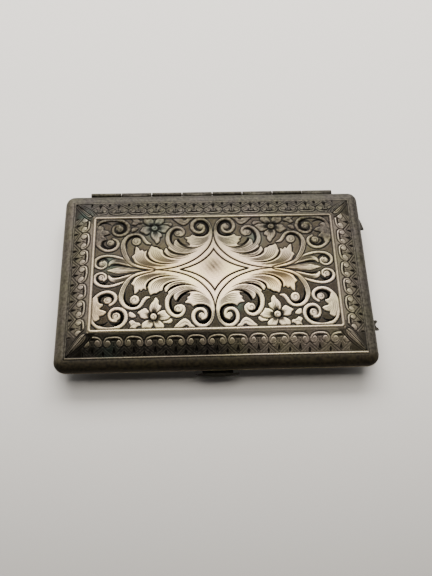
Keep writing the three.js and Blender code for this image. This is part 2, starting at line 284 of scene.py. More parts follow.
def smooth_path(points, steps=7, closed=False):
    """A smooth curve through the points, each (u, v) or (u, v, width)."""
    p = np.array(points, float)
    n = len(p)
    t = (np.arange(steps) / steps)[:, None]
    out = []
    for i in range(n if closed else n - 1):
        if closed:
            a, b, c, d = p[i - 1], p[i], p[(i + 1) % n], p[(i + 2) % n]
        else:
            a, b, c, d = p[max(i - 1, 0)], p[i], p[i + 1], p[min(i + 2, n - 1)]
        out.append(
            0.5 * (2 * b + (c - a) * t + (2 * a - 5 * b + 4 * c - d) * t**2 + (3 * b - a - 3 * c + d) * t**3)
        )
    if not closed:
        out.append(p[-1:])
    return np.concatenate(out)


class Chasing:
    """A drawn relief over a rectangle: height in millimetres, and how much of it is oxide or sunk ground."""

    def __init__(self, u, v, step, depth=0.22):
        self.step = step
        self.u0, self.v0 = u[0], v[0]
        self.us = np.arange(u[0], u[1] + step, step)
        self.vs = np.arange(v[0], v[1] + step, step)
        self.u, self.v = np.meshgrid(self.us, self.vs, indexing="ij")
        self.depth = depth
        self.height = np.full(self.u.shape, -depth)
        self.oxide = np.zeros(self.u.shape)
        self.ground = np.ones(self.u.shape)

    def part(self, path, margin):
        """The slices that hold the path and a margin round it."""
        low = path[:, :2].min(0) - margin
        high = path[:, :2].max(0) + margin
        first = (low - (self.u0, self.v0)) / self.step
        last = (high - (self.u0, self.v0)) / self.step + 2
        return tuple(
            slice(*np.clip((a, b), 0, count).astype(int)) for a, b, count in zip(first, last, self.u.shape)
        )

    def reach(self, path, at, closed=False):
        """Distance to the path, less its half width there."""
        u, v = self.u[at], self.v[at]
        best = np.full(u.shape, 1e3)
        ends = np.roll(path, -1, axis=0)
        for a, b in list(zip(path, ends))[: None if closed else -1]:
            du, dv = b[0] - a[0], b[1] - a[1]
            t = np.clip(((u - a[0]) * du + (v - a[1]) * dv) / max(du * du + dv * dv, 1e-9), 0, 1)
            gap = np.hypot(u - a[0] - t * du, v - a[1] - t * dv)
            if len(a) > 2:
                gap = gap - 0.5 * (a[2] + t * (b[2] - a[2]))
            best = np.minimum(best, gap)
        return best

    def band(self, points):
        """A strip of the given width at each point."""
        path = smooth_path(points)
        at = self.part(path, 1.6 + path[:, 2].max() / 2)
        return at, self.reach(path, at)

    def blade(self, points, steps=4):
        """A leaf or petal inside a closed outline."""
        path = smooth_path(points, steps, closed=True)
        at = self.part(path, 1.2)
        gap = self.reach(path, at, closed=True)
        u, v = self.u[at], self.v[at]
        inside = np.zeros(u.shape, bool)
        for a, b in zip(path, np.roll(path, -1, axis=0)):
            crosses = (a[1] > v) != (b[1] > v)
            where = a[0] + (v - a[1]) * (b[0] - a[0]) / (b[1] - a[1] + 1e-12)
            inside ^= crosses & (u < where)
        return at, np.where(inside, -gap, gap)

    def disc(self, u, v, radius):
        """A round boss."""
        at = self.part(np.array([[u, v]]), radius + 1)
        return at, np.hypot(self.u[at] - u, self.v[at] - v) - radius

    def lay(self, *forms, rise=0.07, line=LINE, soft=0.8, dark=0.9):
        """Raises the forms as one, with a dark line round them, over what is already there."""
        gap = np.full(self.u.shape, 1e3)
        for at, reach in forms:
            gap[at] = np.minimum(gap[at], reach)
        ring = np.clip((line + 0.02 - gap) / 0.16, 0, 1)
        inside = np.clip(-gap / 0.14, 0, 1)
        dome = rise * (1 - np.clip(1 + gap / soft, 0, 1) ** 2)
        self.oxide = np.maximum(self.oxide * (1 - ring), ring * dark) * (1 - inside)
        self.ground *= 1 - inside
        self.height = self.height * (1 - ring) - ring * (self.depth + 0.06)
        self.height = self.height * (1 - inside) + dome * inside

    def curl(self, u, v, radius, turn=1, start=0.0, rounds=1.1, width=0.42, dark=0.9):
        """The graver's spiral inside the round end of a scroll."""
        spin = [start + turn * 2 * math.pi * rounds * n / 9 for n in range(10)]
        shrink = [radius * (1 - 0.82 * n / 9) for n in range(10)]
        self.cut(
            [
                (u + r * math.cos(t), v + r * math.sin(t), width * math.sin(math.pi * (n + 0.6) / 10.6))
                for n, (r, t) in enumerate(zip(shrink, spin))
            ],
            0.08,
            dark,
        )

    def furrows(self, first, last, count, width=0.46, dark=0.88):
        """Hair lines that run along a lobe, spread evenly from one curve to another."""
        a, b = np.array(first, float), np.array(last, float)
        swell = np.sin(np.linspace(0.16, math.pi - 0.12, len(a)))
        for n in range(count):
            t = (n + 0.5) / count
            line = a + t * (b - a)
            self.cut(np.column_stack([line, width * swell]).tolist(), 0.09, dark)

    def cut(self, points, depth=0.2, dark=1.0):
        """A tapered cut of the graver; each point gives its own width."""
        path = smooth_path(points)
        at = self.part(path, 0.8 + path[:, 2].max() / 2)
        gap = self.reach(path, at)
        mark = np.clip((0.05 - gap) / 0.13, 0, 1) * dark
        self.oxide[at] = np.maximum(self.oxide[at], mark)
        self.height[at] -= depth * np.clip(-gap / 0.5, 0, 1)

    def sample(self, layer, u, v):
        """The layer at scattered points, between its own."""
        i = np.clip((u - self.u0) / self.step, 0, len(self.us) - 1.001)
        j = np.clip((v - self.v0) / self.step, 0, len(self.vs) - 1.001)
        i0, j0 = i.astype(int), j.astype(int)
        fi, fj = i - i0, j - j0
        low = layer[i0, j0] * (1 - fi) + layer[i0 + 1, j0] * fi
        high = layer[i0, j0 + 1] * (1 - fi) + layer[i0 + 1, j0 + 1] * fi
        return low * (1 - fj) + high * fj


quarter = Chasing((-0.6, 50.2), (-0.6, 25.6), 0.1)

# the leaf sprays that fill the edge of the ground
for sprig in [
    [
        (34.2, 24.4), (33.2, 23.0), (34.0, 21.5), (32.4, 20.7), (31.2, 21.6), (29.8, 21.8), (29.2, 23.0),
        (30.6, 23.4), (31.4, 24.3), (32.8, 23.9),
    ],
    [
        (16.4, 24.1), (15.2, 22.6), (13.6, 21.2), (11.9, 20.5), (10.4, 21.4), (9.4, 22.8), (8.0, 24.0),
        (10.2, 24.2), (11.4, 23.2), (13.2, 24.0),
    ],
    [(16.6, 21.0), (17.6, 20.0), (19.2, 20.2), (20.6, 21.6), (19.0, 22.2), (17.4, 22.2)],
    [(33.8, 17.6), (32.2, 18.0), (31.0, 19.4), (32.4, 20.0), (33.8, 19.4)],
]:
    quarter.lay(quarter.blade(sprig), rise=0.03)
for vein in [
    [(14.8, 23.4, 0.1), (12.0, 21.9, 0.3), (9.8, 23.2, 0.1)],
    [(12.2, 24.0, 0.4), (11.9, 22.6, 0.15)],
    [(33.0, 23.4, 0.1), (32.0, 22.2, 0.3), (30.2, 22.7, 0.1)],
]:
    quarter.cut(vein, 0.1)

# the flower: five ribbed petals round a curled eye
for petal in [
    [
        (22.2, 17.6), (20.9, 15.4), (22.0, 14.6), (22.0, 13.2), (23.2, 11.7), (24.3, 13.2), (25.2, 14.2),
        (25.9, 15.8), (25.3, 17.8),
    ],
    [(25.8, 17.8), (27.4, 16.0), (28.8, 16.6), (30.7, 17.9), (29.9, 18.8), (29.0, 20.2), (26.6, 20.2)],
    [(25.2, 20.6), (27.2, 20.9), (28.9, 22.2), (28.7, 24.2), (27.2, 23.9), (25.6, 24.3), (24.4, 22.8)],
    [(24.2, 21.2), (23.6, 23.6), (22.2, 24.4), (20.2, 24.2), (20.0, 22.6), (21.2, 21.4), (22.6, 20.4)],
    [
        (22.4, 20.4), (20.4, 21.0), (18.4, 20.6), (17.4, 19.3), (18.8, 18.2), (19.6, 16.9), (21.4, 17.2),
        (22.8, 18.4),
    ],
]:
    quarter.lay(quarter.blade(petal), rise=0.10)
quarter.lay(quarter.disc(24.2, 19.4, 1.35), rise=0.12, line=0.62, dark=1.0)
quarter.curl(24.3, 19.5, 0.95, 1, 0.4, 1.0, 0.4, 1.0)
for n, far in ((0, 5.6), (1, 4.2), (2, 4.3), (3, 4.2), (4, 5.2)):
    for spread, reach in ((-0.34, 0.68), (-0.17, 0.85), (0.0, 1.0), (0.17, 0.85), (0.34, 0.68)):
        way = math.radians((-98, -20, 52, 125, 180)[n]) + spread
        start, tip = 2.1, far * reach
        ray = [
            (24.2 + r * math.cos(way), 19.4 + r * math.sin(way), width)
            for r, width in ((start, 0.6), (0.5 * (start + tip), 0.36), (tip, 0.10))
        ]
        quarter.cut(ray, 0.08, 0.95)

# the scroll at the end of the middle line, with the lobe inside it
quarter.lay(
    quarter.band([
        (31.5, 1.8, 0.3), (34.6, 3.6, 0.9), (38.2, 5.6, 1.2), (42.0, 6.6, 1.2), (45.2, 6.4, 1.3),
        (47.4, 5.1, 1.4),
        (48.1, 3.2, 1.3), (47.2, 1.6, 1.1), (45.4, 1.0, 1.0), (43.9, 1.7, 1.0), (43.5, 3.1, 1.0),
        (44.4, 4.2, 0.9),
    ]),
    quarter.disc(45.3, 3.0, 1.25),
)
quarter.cut([
    (42.9, 2.4, 0.2), (42.7, 4.2, 0.5), (44.2, 5.4, 0.8), (46.0, 5.0, 0.8), (46.8, 3.6, 0.6),
    (46.4, 2.4, 0.25),
], 0.25)
quarter.curl(45.2, 3.1, 0.95, -1, 0.6, 1.0)
quarter.lay(quarter.band([
    (29.0, 1.3, 0.5), (33.2, 2.2, 1.1), (36.4, 3.3, 1.8), (39.0, 4.0, 2.0), (41.0, 3.9, 1.9),
    (42.1, 3.0, 1.3), (42.5, 2.1, 0.6),
]), rise=0.09)
quarter.cut([
    (33.8, 1.5, 0.12), (36.6, 2.1, 0.6), (39.0, 2.6, 0.85), (40.7, 2.3, 0.6), (41.6, 1.6, 0.15),
], 0.2)
quarter.furrows(
    [(31.0, 1.7), (35.0, 2.7), (38.6, 3.6), (41.0, 3.4)],
    [(33.0, 2.6), (36.4, 4.2), (39.4, 4.9), (41.6, 4.4)], 4,
)
# the fan of narrow leaves along the middle line
quarter.lay(
    quarter.blade([
        (26.0, -0.5), (30.0, 0.2), (34.6, 1.2), (38.6, 1.5), (41.0, 0.9), (43.4, 0.0), (41.0, -0.9),
        (33.0, -0.9),
    ]),
    rise=0.05, line=0.26, dark=0.8,
)
quarter.furrows(
    [(29.0, 0.0), (33.0, 0.1), (37.0, 0.2), (41.5, 0.1)],
    [(30.0, 0.6), (34.0, 1.1), (37.4, 1.3), (40.4, 0.9)], 4, 0.26, 0.8,
)

# the corner scroll, which opens into a leaf on its outer side
quarter.lay(
    quarter.band([
        (41.2, 14.7, 1.2), (39.7, 13.6, 1.3), (39.2, 11.9, 1.4), (39.9, 10.2, 1.4), (41.7, 9.1, 1.4),
        (44.0, 9.1, 1.4), (46.3, 10.5, 1.4), (48.0, 13.0, 1.4), (48.7, 16.2, 1.4), (48.4, 19.5, 1.4),
        (47.1, 22.1, 1.4), (44.8, 23.5, 1.5), (42.0, 24.0, 1.5), (38.9, 23.7, 1.5), (36.4, 22.5, 1.5),
        (35.0, 20.4, 1.5), (35.2, 18.1, 1.5), (36.7, 16.6, 1.5), (39.0, 16.2, 1.4), (40.8, 17.2, 1.3),
        (41.3, 19.1, 1.2), (40.4, 20.7, 1.2), (38.8, 20.9, 1.3),
    ]),
    quarter.disc(42.2, 12.7, 1.55),
    quarter.disc(38.6, 19.3, 1.6),
    quarter.blade([
        (46.4, 11.0), (48.0, 13.6), (48.8, 17.0), (48.0, 20.4), (46.4, 21.2), (44.9, 20.2), (45.0, 19.2),
        (43.4, 18.8),
        (42.3, 17.4), (43.6, 16.6), (45.0, 16.2), (44.0, 15.2), (43.8, 14.1), (45.4, 13.5),
    ]),
    rise=0.08,
)
quarter.cut([
    (40.6, 13.2, 0.2), (40.5, 11.6, 0.7), (41.6, 10.5, 0.9), (43.4, 10.4, 0.9), (45.0, 11.4, 1.1),
    (45.2, 12.9, 0.9), (44.2, 13.6, 0.4),
], 0.25)
quarter.cut([
    (40.4, 17.9, 0.2), (39.0, 17.3, 0.5), (37.3, 17.7, 0.9), (36.5, 19.2, 1.1), (36.8, 21.2, 1.2),
    (38.4, 22.3, 1.0), (40.4, 22.1, 0.5), (41.5, 20.9, 0.15),
], 0.25)
quarter.cut([
    (41.8, 21.2, 0.3), (43.4, 22.2, 0.8), (45.4, 22.3, 0.8), (47.0, 21.1, 0.5), (47.8, 19.2, 0.12),
], 0.25)
quarter.curl(42.2, 12.6, 1.2, 1, 2.8, 1.1)
quarter.curl(38.6, 19.2, 1.25, -1, 1.4, 1.1)
quarter.furrows(
    [(45.6, 12.6), (46.4, 15.6), (46.2, 18.0), (45.0, 19.8)],
    [(47.8, 13.0), (48.6, 16.0), (48.4, 18.6), (46.8, 20.8)], 3, dark=0.5,
)
quarter.furrows(
    [(42.9, 17.3), (44.6, 17.0), (45.8, 15.6)], [(44.6, 19.0), (45.6, 18.8), (46.8, 17.0)], 3, dark=0.5,
)
quarter.furrows(
    [(44.0, 14.4), (45.2, 14.2), (46.2, 13.0)], [(44.6, 15.6), (45.8, 15.4), (46.6, 14.2)], 2, dark=0.5,
)

# the great leaf: one sheet of lobes from the lozenge out to the C-scroll, and the second scroll that grows
# from it
quarter.lay(
    quarter.blade([
        (0.2, 17.6), (0.4, 15.0), (1.2, 11.0), (4.0, 6.6), (9.0, 2.6), (16.0, 0.2), (
            24.0, -0.4,
        ), (28.4, 1.0), (31.4, 2.9),
        (32.6, 4.8), (33.4, 6.0), (32.3, 7.1), (32.3, 8.8), (
            31.9, 10.6,
        ), (30.6, 9.7), (30.0, 8.7), (29.2, 9.3),
        (28.3, 8.3), (27.3, 8.9), (26.7, 7.9), (26.2, 9.4), (
            25.5, 11.0,
        ), (24.2, 10.4), (23.0, 10.3), (22.0, 9.5),
        (20.9, 9.2), (20.2, 8.4), (19.6, 9.8), (18.7, 9.8), (
            18.0, 11.0,
        ), (16.4, 10.6), (16.2, 12.4), (15.3, 13.6), (14.5, 12.6),
        (12.6, 11.0), (10.0, 10.6), (10.2, 11.6), (11.2, 12.4), (10.8, 13.1), (11.9, 14.5), (9.6, 15.1),
        (8.6, 16.3), (7.2, 15.3), (4.6, 15.2), (2.4, 16.4), (1.6, 18.4), (1.0, 18.6),
    ], 3),
    quarter.band([
        (6.0, 9.2, 1.0), (8.6, 8.3, 1.6), (11.4, 8.1, 1.9), (14.2, 8.7, 2.1), (
            16.6, 10.1, 2.1,
        ), (18.3, 12.1, 2.0),
        (18.8, 14.4, 1.8), (18.3, 16.8, 1.7), (16.9, 18.7, 1.5), (15.0, 19.6, 1.4), (13.1, 19.1, 1.4),
        (12.1, 17.6, 1.3), (12.3, 16.2, 1.2), (13.4, 15.4, 1.2),
    ]),
    quarter.disc(14.3, 16.7, 1.7),
    quarter.band([
        (0.9, 14.6, 0.9), (
            0.95, 17.0, 1.2,
        ), (1.15, 19.4, 1.3), (1.9, 21.6, 1.3), (3.4, 23.1, 1.3), (5.3, 23.6, 1.4),
        (7.2, 23.0, 1.5), (8.5, 21.4, 1.6), (8.7, 19.4, 1.6), (7.8, 17.7, 1.5), (6.2, 17.0, 1.4),
        (4.6, 17.4, 1.4),
        (3.8, 18.7, 1.3), (4.0, 20.2, 1.2), (5.2, 20.9, 1.1),
    ]),
    quarter.disc(5.5, 19.6, 1.2),
    rise=0.08, soft=1.1,
)
# the big C-scroll over its edge
quarter.lay(
    quarter.band([
        (24.0, 0.2, 0.4), (29.2, 1.3, 1.2), (32.2, 2.5, 1.4), (34.5, 4.4, 1.7), (36.2, 6.9, 1.9),
        (37.1, 9.6, 2.0), (37.2, 12.0, 1.9), (36.3, 14.3, 1.7), (34.7, 15.8, 1.5), (32.7, 16.4, 1.3),
        (30.7, 16.1, 1.3), (29.3, 15.0, 1.5), (28.4, 13.5, 1.6), (27.3, 12.2, 1.5), (25.8, 11.8, 0.7),
    ]),
    quarter.disc(31.8, 12.9, 1.95),
    rise=0.09,
)
# deep crescents between the lobes, wide at the turn and running out to a hair
for crescent in [
    [
        (27.0, 8.2, 0.5), (26.8, 6.6, 1.0), (25.7, 4.9, 0.9), (23.4, 3.5, 0.75), (20.4, 2.8, 0.65),
        (17.2, 2.8, 0.4), (14.4, 3.3, 0.12),
    ],
    [
        (20.4, 8.6, 0.5), (19.9, 7.2, 0.95), (18.5, 6.0, 0.8), (16.2, 5.2, 0.5), (13.3, 4.9, 0.3),
        (10.4, 5.5, 0.12),
    ],
    [
        (18.9, 10.0, 0.3), (18.4, 9.1, 0.8), (17.1, 7.9, 1.1), (15.0, 6.95, 1.0), (12.2, 6.6, 0.75),
        (9.3, 7.0, 0.45), (6.8, 8.1, 0.12),
    ],
    [
        (14.5, 13.9, 0.5), (14.2, 12.7, 1.0), (13.1, 11.2, 1.05), (11.2, 9.95, 0.9), (8.7, 9.5, 0.6),
        (6.2, 10.0, 0.4), (3.6, 11.6, 0.12),
    ],
    [
        (16.0, 10.4, 0.15), (16.9, 11.8, 0.6), (17.4, 13.6, 0.8), (17.2, 15.6, 0.8), (16.4, 17.3, 0.8),
        (15.0, 18.2, 0.7), (13.5, 18.0, 0.3),
    ],
    [
        (8.8, 15.9, 0.2), (6.6, 15.7, 0.8), (4.2, 15.7, 0.8), (2.6, 16.9, 1.0), (2.1, 18.8, 1.1),
        (2.7, 20.9, 1.1), (4.4, 22.2, 1.0), (6.3, 22.0, 0.8), (7.3, 20.8, 0.6), (7.4, 19.4, 0.5),
        (6.6, 18.5, 0.3), (5.6, 18.5, 0.1),
    ],
    [(32.6, 7.2, 0.25), (32.4, 9.0, 0.6), (32.2, 10.6, 0.3)],
    [
        (35.4, 9.6, 0.2), (35.9, 11.6, 0.6), (35.2, 13.8, 0.8), (33.6, 15.0, 0.85), (31.8, 15.3, 0.8),
        (30.4, 14.6, 0.4),
    ],
    [(24.6, 10.9, 0.3), (22.9, 10.4, 0.6), (21.4, 9.6, 0.25)],
    [(34.6, 5.9, 0.1), (33.2, 3.9, 0.32), (31.0, 2.5, 0.3), (27.6, 1.5, 0.24), (23.0, 1.2, 0.1)],
]:
    quarter.cut([(u, v, w * 1.22) for u, v, w in crescent], 0.3)
quarter.curl(14.4, 16.7, 1.3, -1, 2.4, 1.1)
quarter.curl(31.8, 12.9, 1.5, -1, 2.6, 1.2)
quarter.curl(5.5, 19.7, 0.9, 1, 3.4, 0.8, 0.3)

# fuller shading on the great lobes, from the root to the tips
for first, last, count in [
    (
        [(17.5, 2.0), (22.5, 2.4), (26.2, 4.0), (27.9, 6.0), (28.2, 8.0)],
        [(20.0, 1.2), (26.5, 1.9), (30.2, 3.3), (31.8, 5.2), (32.3, 7.0)], 6,
    ),
    (
        [(13.0, 4.3), (17.0, 4.5), (20.0, 5.8), (21.4, 7.4), (21.9, 9.0)],
        [(15.0, 3.4), (20.0, 3.5), (23.4, 4.7), (25.2, 6.7), (25.6, 9.2)], 5,
    ),
    (
        [(9.0, 6.6), (13.0, 6.0), (16.4, 6.4), (18.4, 8.0)],
        [(11.0, 5.8), (14.6, 5.5), (17.6, 6.4), (19.4, 8.4)], 2,
    ),
    (
        [(6.4, 9.2), (10.0, 8.6), (13.2, 9.2), (15.8, 11.0), (17.4, 13.6)],
        [(8.0, 7.8), (11.4, 7.3), (15.0, 7.9), (18.0, 10.4), (19.3, 13.6)], 3,
    ),
    (
        [(4.4, 10.8), (8.0, 9.2), (11.6, 9.4), (14.2, 11.2), (15.0, 13.0)],
        [(5.6, 9.9), (9.0, 8.8), (12.6, 9.2), (15.2, 10.8), (15.9, 12.4)], 2,
    ),
    (
        [(1.6, 16.2), (3.0, 15.0), (5.0, 14.4), (7.0, 14.5), (8.6, 14.8)],
        [(1.4, 14.2), (3.4, 12.2), (6.0, 10.8), (8.4, 10.8), (9.6, 11.4)], 5,
    ),
    (
        [(0.9, 17.0), (1.4, 19.6), (2.4, 21.6), (4.0, 22.9)],
        [(0.6, 17.0), (0.9, 19.8), (1.8, 22.2), (3.8, 23.6)], 1,
    ),
    (
        [(31.0, 2.0), (34.0, 4.6), (35.8, 7.6), (36.6, 10.6), (36.0, 13.6)],
        [(32.0, 2.0), (35.2, 4.4), (37.0, 7.4), (37.8, 10.6), (37.0, 13.8)], 2,
    ),
]:
    quarter.furrows(first, last, count)

# the plain lozenge and its polished band, over everything else; both lines are cut deep
outer = smooth_path([
    (-0.1, 18.4), (0.1, 16.2), (0.4, 14.2), (1.2, 11.7), (2.3, 9.6), (3.9, 7.6), (5.8, 5.75), (7.8, 4.3),
    (10.1, 3.05),
    (12.5, 2.05), (15.6, 1.1), (19.0, 0.45), (23.0, 0.1), (28.0, -0.1),
])
inner = smooth_path([
    (-0.3, 9.6), (0.6, 8.0), (1.6, 6.6), (3.1, 5.0), (5.0, 3.5), (7.3, 2.2), (10.0, 1.1), (12.2, 0.45),
    (14.0, -0.1),
])
within = (quarter.v < np.interp(quarter.u, outer[:, 0], outer[:, 1])) & (quarter.u < 27)
quarter.ground[within] = 0
quarter.oxide[within] = 0
quarter.height[within] = 0.06
widths = np.interp(outer[:, 0], [0, 1, 16, 28], [0.5, 0.84, 0.8, 0.35])
quarter.cut(np.column_stack([outer, widths])[::3].tolist(), 0.15)
quarter.cut(np.column_stack([inner, np.full(len(inner), 0.86)])[::3].tolist(), 0.15)


def add_piece(data):
    """Puts finished mesh or curve data in the scene."""
    piece = bpy.data.objects.new(data.name, data)
    bpy.context.scene.collection.objects.link(piece)
    return piece


def finish_mesh(name, mesh, material, smooth=True):
    """Turns a bmesh into mesh data with its material."""
    bmesh.ops.recalc_face_normals(mesh, faces=mesh.faces)
    data = bpy.data.meshes.new(name)
    mesh.to_mesh(data)
    mesh.free()
    for face in data.polygons:
        face.use_smooth = smooth
    data.materials.append(material)
    return data


def height_sheet(name, count, surface, body, material):
    """A grid of count points each way, shaped by surface(i, j), which returns places in metres and masks."""
    i, j = np.meshgrid(np.linspace(0, 1, count[0]), np.linspace(0, 1, count[1]), indexing="ij")
    place, masks = surface(i, j)
    nx, ny = count
    index = np.arange(nx * ny).reshape(nx, ny)
    faces = np.stack([index[:-1, :-1], index[1:, :-1], index[1:, 1:], index[:-1, 1:]], -1).reshape(-1, 4)
    mesh = bpy.data.meshes.new(name)
    mesh.vertices.add(nx * ny)
    mesh.vertices.foreach_set("co", place.reshape(-1).astype(np.float32))
    mesh.loops.add(faces.size)
    mesh.loops.foreach_set("vertex_index", faces.reshape(-1).astype(np.int32))
    mesh.polygons.add(len(faces))
    mesh.polygons.foreach_set("loop_start", np.arange(0, faces.size, 4, dtype=np.int32))
    mesh.update(calc_edges=True)
    mesh.polygons.foreach_set("use_smooth", np.ones(len(faces), bool))
    for label, values in masks.items():
        layer = mesh.attributes.new(label, "FLOAT", "POINT")
        layer.data.foreach_set("value", np.broadcast_to(values, i.shape).reshape(-1).astype(np.float32))
    mesh.materials.append(material)
    piece = add_piece(mesh)
    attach(piece, body)
    return piece


def bead_profile(gap):
    """The raised line round the panel, in millimetres, from the distance inside the panel's edge."""
    crown = np.clip(1 - ((gap - 0.62) / 0.38) ** 2, 0, 1)
    return 0.28 * np.sqrt(crown)


def panel_surface(i, j):
    x = (i * 2 - 1) * PANEL_HALF[0]
    y = (j * 2 - 1) * PANEL_HALF[1]
    # the hand that drew the four quarters never made two quite alike
    drift = 0.16 * np.sin(x * 0.21 + 1.3 * np.cos(y * 0.17)) + 0.10 * np.sin(y * 0.33 + 0.4)
    lift = 0.14 * np.sin(y * 0.27 + 1.1 * np.cos(x * 0.13) + 2) + 0.10 * np.cos(x * 0.29)
    u = np.abs(x + 0.35 + drift * np.clip(np.abs(x) / 12, 0, 1))
    v = np.abs(y - 0.6 * (1 - (y / PANEL_HALF[1]) ** 2) + lift * np.clip(np.abs(y) / 8, 0, 1))
    height = quarter.sample(quarter.height, u, v)
    oxide = quarter.sample(quarter.oxide, u, v)
    ground = quarter.sample(quarter.ground, u, v)
    corner = 1.6
    ax = np.maximum(np.abs(x) - (PANEL_HALF[0] - corner), 0)
    ay = np.maximum(np.abs(y) - (PANEL_HALF[1] - corner), 0)
    flat = np.maximum(np.abs(x) - PANEL_HALF[0], np.abs(y) - PANEL_HALF[1])
    gap = np.where((ax > 0) & (ay > 0), corner - np.hypot(ax, ay), -flat)
    rim = np.clip((1.5 - gap) / 0.2, 0, 1)
    height = height * (1 - rim) + rim * np.where(gap > 1.2, -0.25, -0.05)
    height = height + np.where(gap < 1.25, bead_profile(gap), 0)
    line = np.clip(1.2 - np.abs(gap - 1.34) / 0.34, 0, 1) + np.clip(1.2 - np.abs(gap) / 0.30, 0, 1)
    oxide = np.clip(oxide * (1 - rim) + line, 0, 1)
    ground = ground * (1 - rim) + 0.6 * np.clip(-gap / 0.1, 0, 1)
    # the middle is rubbed bright by the hand; towards the back the metal is painted darker, painted shade
    # where less light is reflected
    quiet = np.clip((y + 2) / 16, 0, 1)
    ground = ground * (1 - 0.10 * quiet)
    oxide = oxide * (1 - 0.08 * quiet)
    handled = np.exp(-((x / 30) ** 2) - ((y + 3) / 17) ** 2)
    age = 0.46 - 0.46 * handled + 0.56 * np.clip((y + 4) / 22, 0, 1)
    age = age + 0.12 * np.clip((np.abs(x) - 38) / 12, 0, 1)
    # the bead: tarnish, with painted shade darker towards the back and the right, so that it reads as a light
    # line only at the front
    bead_tarnish_and_shade = 0.44 + 0.26 * np.clip((y + 14) / 30, 0, 1) + 0.16 * np.clip((x - 20) / 20, 0, 1)
    age = np.where(gap < 1.2, bead_tarnish_and_shade, age)
    smudge = np.exp(-(((x + 0.6) / 4.8) ** 2) - ((y - 1.6) / 4.2) ** 2)
    age = age + 0.80 * smudge * (0.88 + 0.12 * np.sin(x * 3.1 + y * 2.3))
    straw = 0.12
    for share, a, b, wide, high in (
        (0.8, 27, -3, 9, 7), (0.6, -24, 2, 9, 6), (0.30, 0, 0, 15, 10), (0.35, -45, -17, 6, 6),
    ):
        straw = straw + share * np.exp(-(((x - a) / wide) ** 2) - ((y - b) / high) ** 2)
    green = 0
    for a, b, radius in ((-24, 19, 4), (17, 14, 3), (8, -15, 2.4), (-42, 4, 3)):
        green = green + 0.7 * np.exp(-((x - a) ** 2 + (y - b) ** 2) / radius**2)
    place = np.stack([x / 1000, y / 1000, PANEL_TOP + height / 1000], -1)
    age = np.clip(age, 0, 1)
    return place, {"oxide": oxide, "ground": ground, "age": age, "straw": straw, "green": green}


panel_silver = silver_material("panel_silver", 0.0)
lid_panel = height_sheet("lid_panel", (438, 224), panel_surface, "lid", panel_silver)
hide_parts("lid_shell")

# ---- Lid border ----
# The pressed slope between the panel and the edge, chased with a running row of scrolled arches over a
# hatched floor, and a long leaf along each mitre. Each side is drawn from one half of one arch.

BORDER_WIDE = 9.3
BORDER_FALL = 4.2
SLOPE = math.atan(BORDER_FALL / BORDER_WIDE)
CASE_TOP = 15.3
ARCH = 4.0  # half the pitch that the arch is drawn at

arches = Chasing((-0.6, ARCH + 0.6), (-0.6, BORDER_WIDE + 0.6), 0.08, 0.1)
arches.ground[:] = 0.30
arches.height[:] = -0.04


def both(middle, points):
    """The points on each side of an arch's middle line."""
    return [[(middle + side * p[0], *p[1:]) for p in points] for side in (1, -1)]


for middle in (0, 2 * ARCH):
    # a looped band that ends in two round knobs
    loop = [
        (0, 1.75, 0.7), (1.6, 1.9, 0.75), (2.8, 2.4, 0.75), (3.45, 3.6, 0.7), (3.1, 4.7, 0.65),
        (2.0, 5.0, 0.6),
    ]
    arches.lay(
        *[arches.band(points) for points in both(middle, loop)],
        *[arches.disc(middle + way * 2.05, 3.8, 1.15) for way in (1, -1)],
        rise=0.10, line=0.34,
    )
    for mark in [
        [(1.0, 3.7, 0.3), (1.3, 2.9, 0.5), (2.1, 2.55, 0.52), (2.9, 3.0, 0.46), (3.1, 3.9, 0.3)],
        [(0.0, 2.65, 1.0), (0.8, 2.6, 0.8), (1.2, 2.8, 0.3)],
        [(0.0, 1.0, 0.42), (1.9, 1.1, 0.42), (3.3, 1.7, 0.42), (3.9, 2.8, 0.4)],
        [(4.0, 4.7, 0.5), (2.0, 6.4, 0.52), (0.0, 8.1, 0.5)],
        [(4.0, 5.9, 0.42), (2.5, 7.2, 0.46), (1.3, 8.2, 0.42)],
        [(0.0, 5.3, 0.5), (0.0, 6.2, 1.0), (0.0, 6.9, 1.5)],
        [(4.0, 6.6, 0.4), (4.0, 7.3, 1.1), (4.0, 7.8, 1.4)],
        [(0.0, 3.6, 0.4), (0.0, 4.6, 0.6)],
    ]:
        for points in both(middle, mark):
            arches.cut(points, 0.14, 0.95)

kite = Chasing((-0.2, 3.4), (-0.6, 14.2), 0.08, 0.1)
kite.ground[:] = 0.7
kite.lay(
    kite.blade([
        (0.0, 1.0), (1.0, 2.2), (1.45, 4.2), (1.0, 7.6), (0.0, 12.4), (-1.0, 7.6), (-1.45, 4.2), (-1.0, 2.2),
    ]),
    rise=0.06, line=0.34,
)
kite.cut([(0.45, 2.6, 0.3), (0.75, 4.6, 0.4), (0.2, 10.0, 0.2)], 0.1)
kite.cut([(0.0, 0.3, 0.6), (0.0, 7.0, 0.5), (0.0, 12.8, 0.4)], 0.12)
kite.cut([(1.9, 1.6, 0.4), (2.25, 5.0, 0.5), (1.9, 9.0, 0.4), (1.0, 12.8, 0.3)], 0.1)


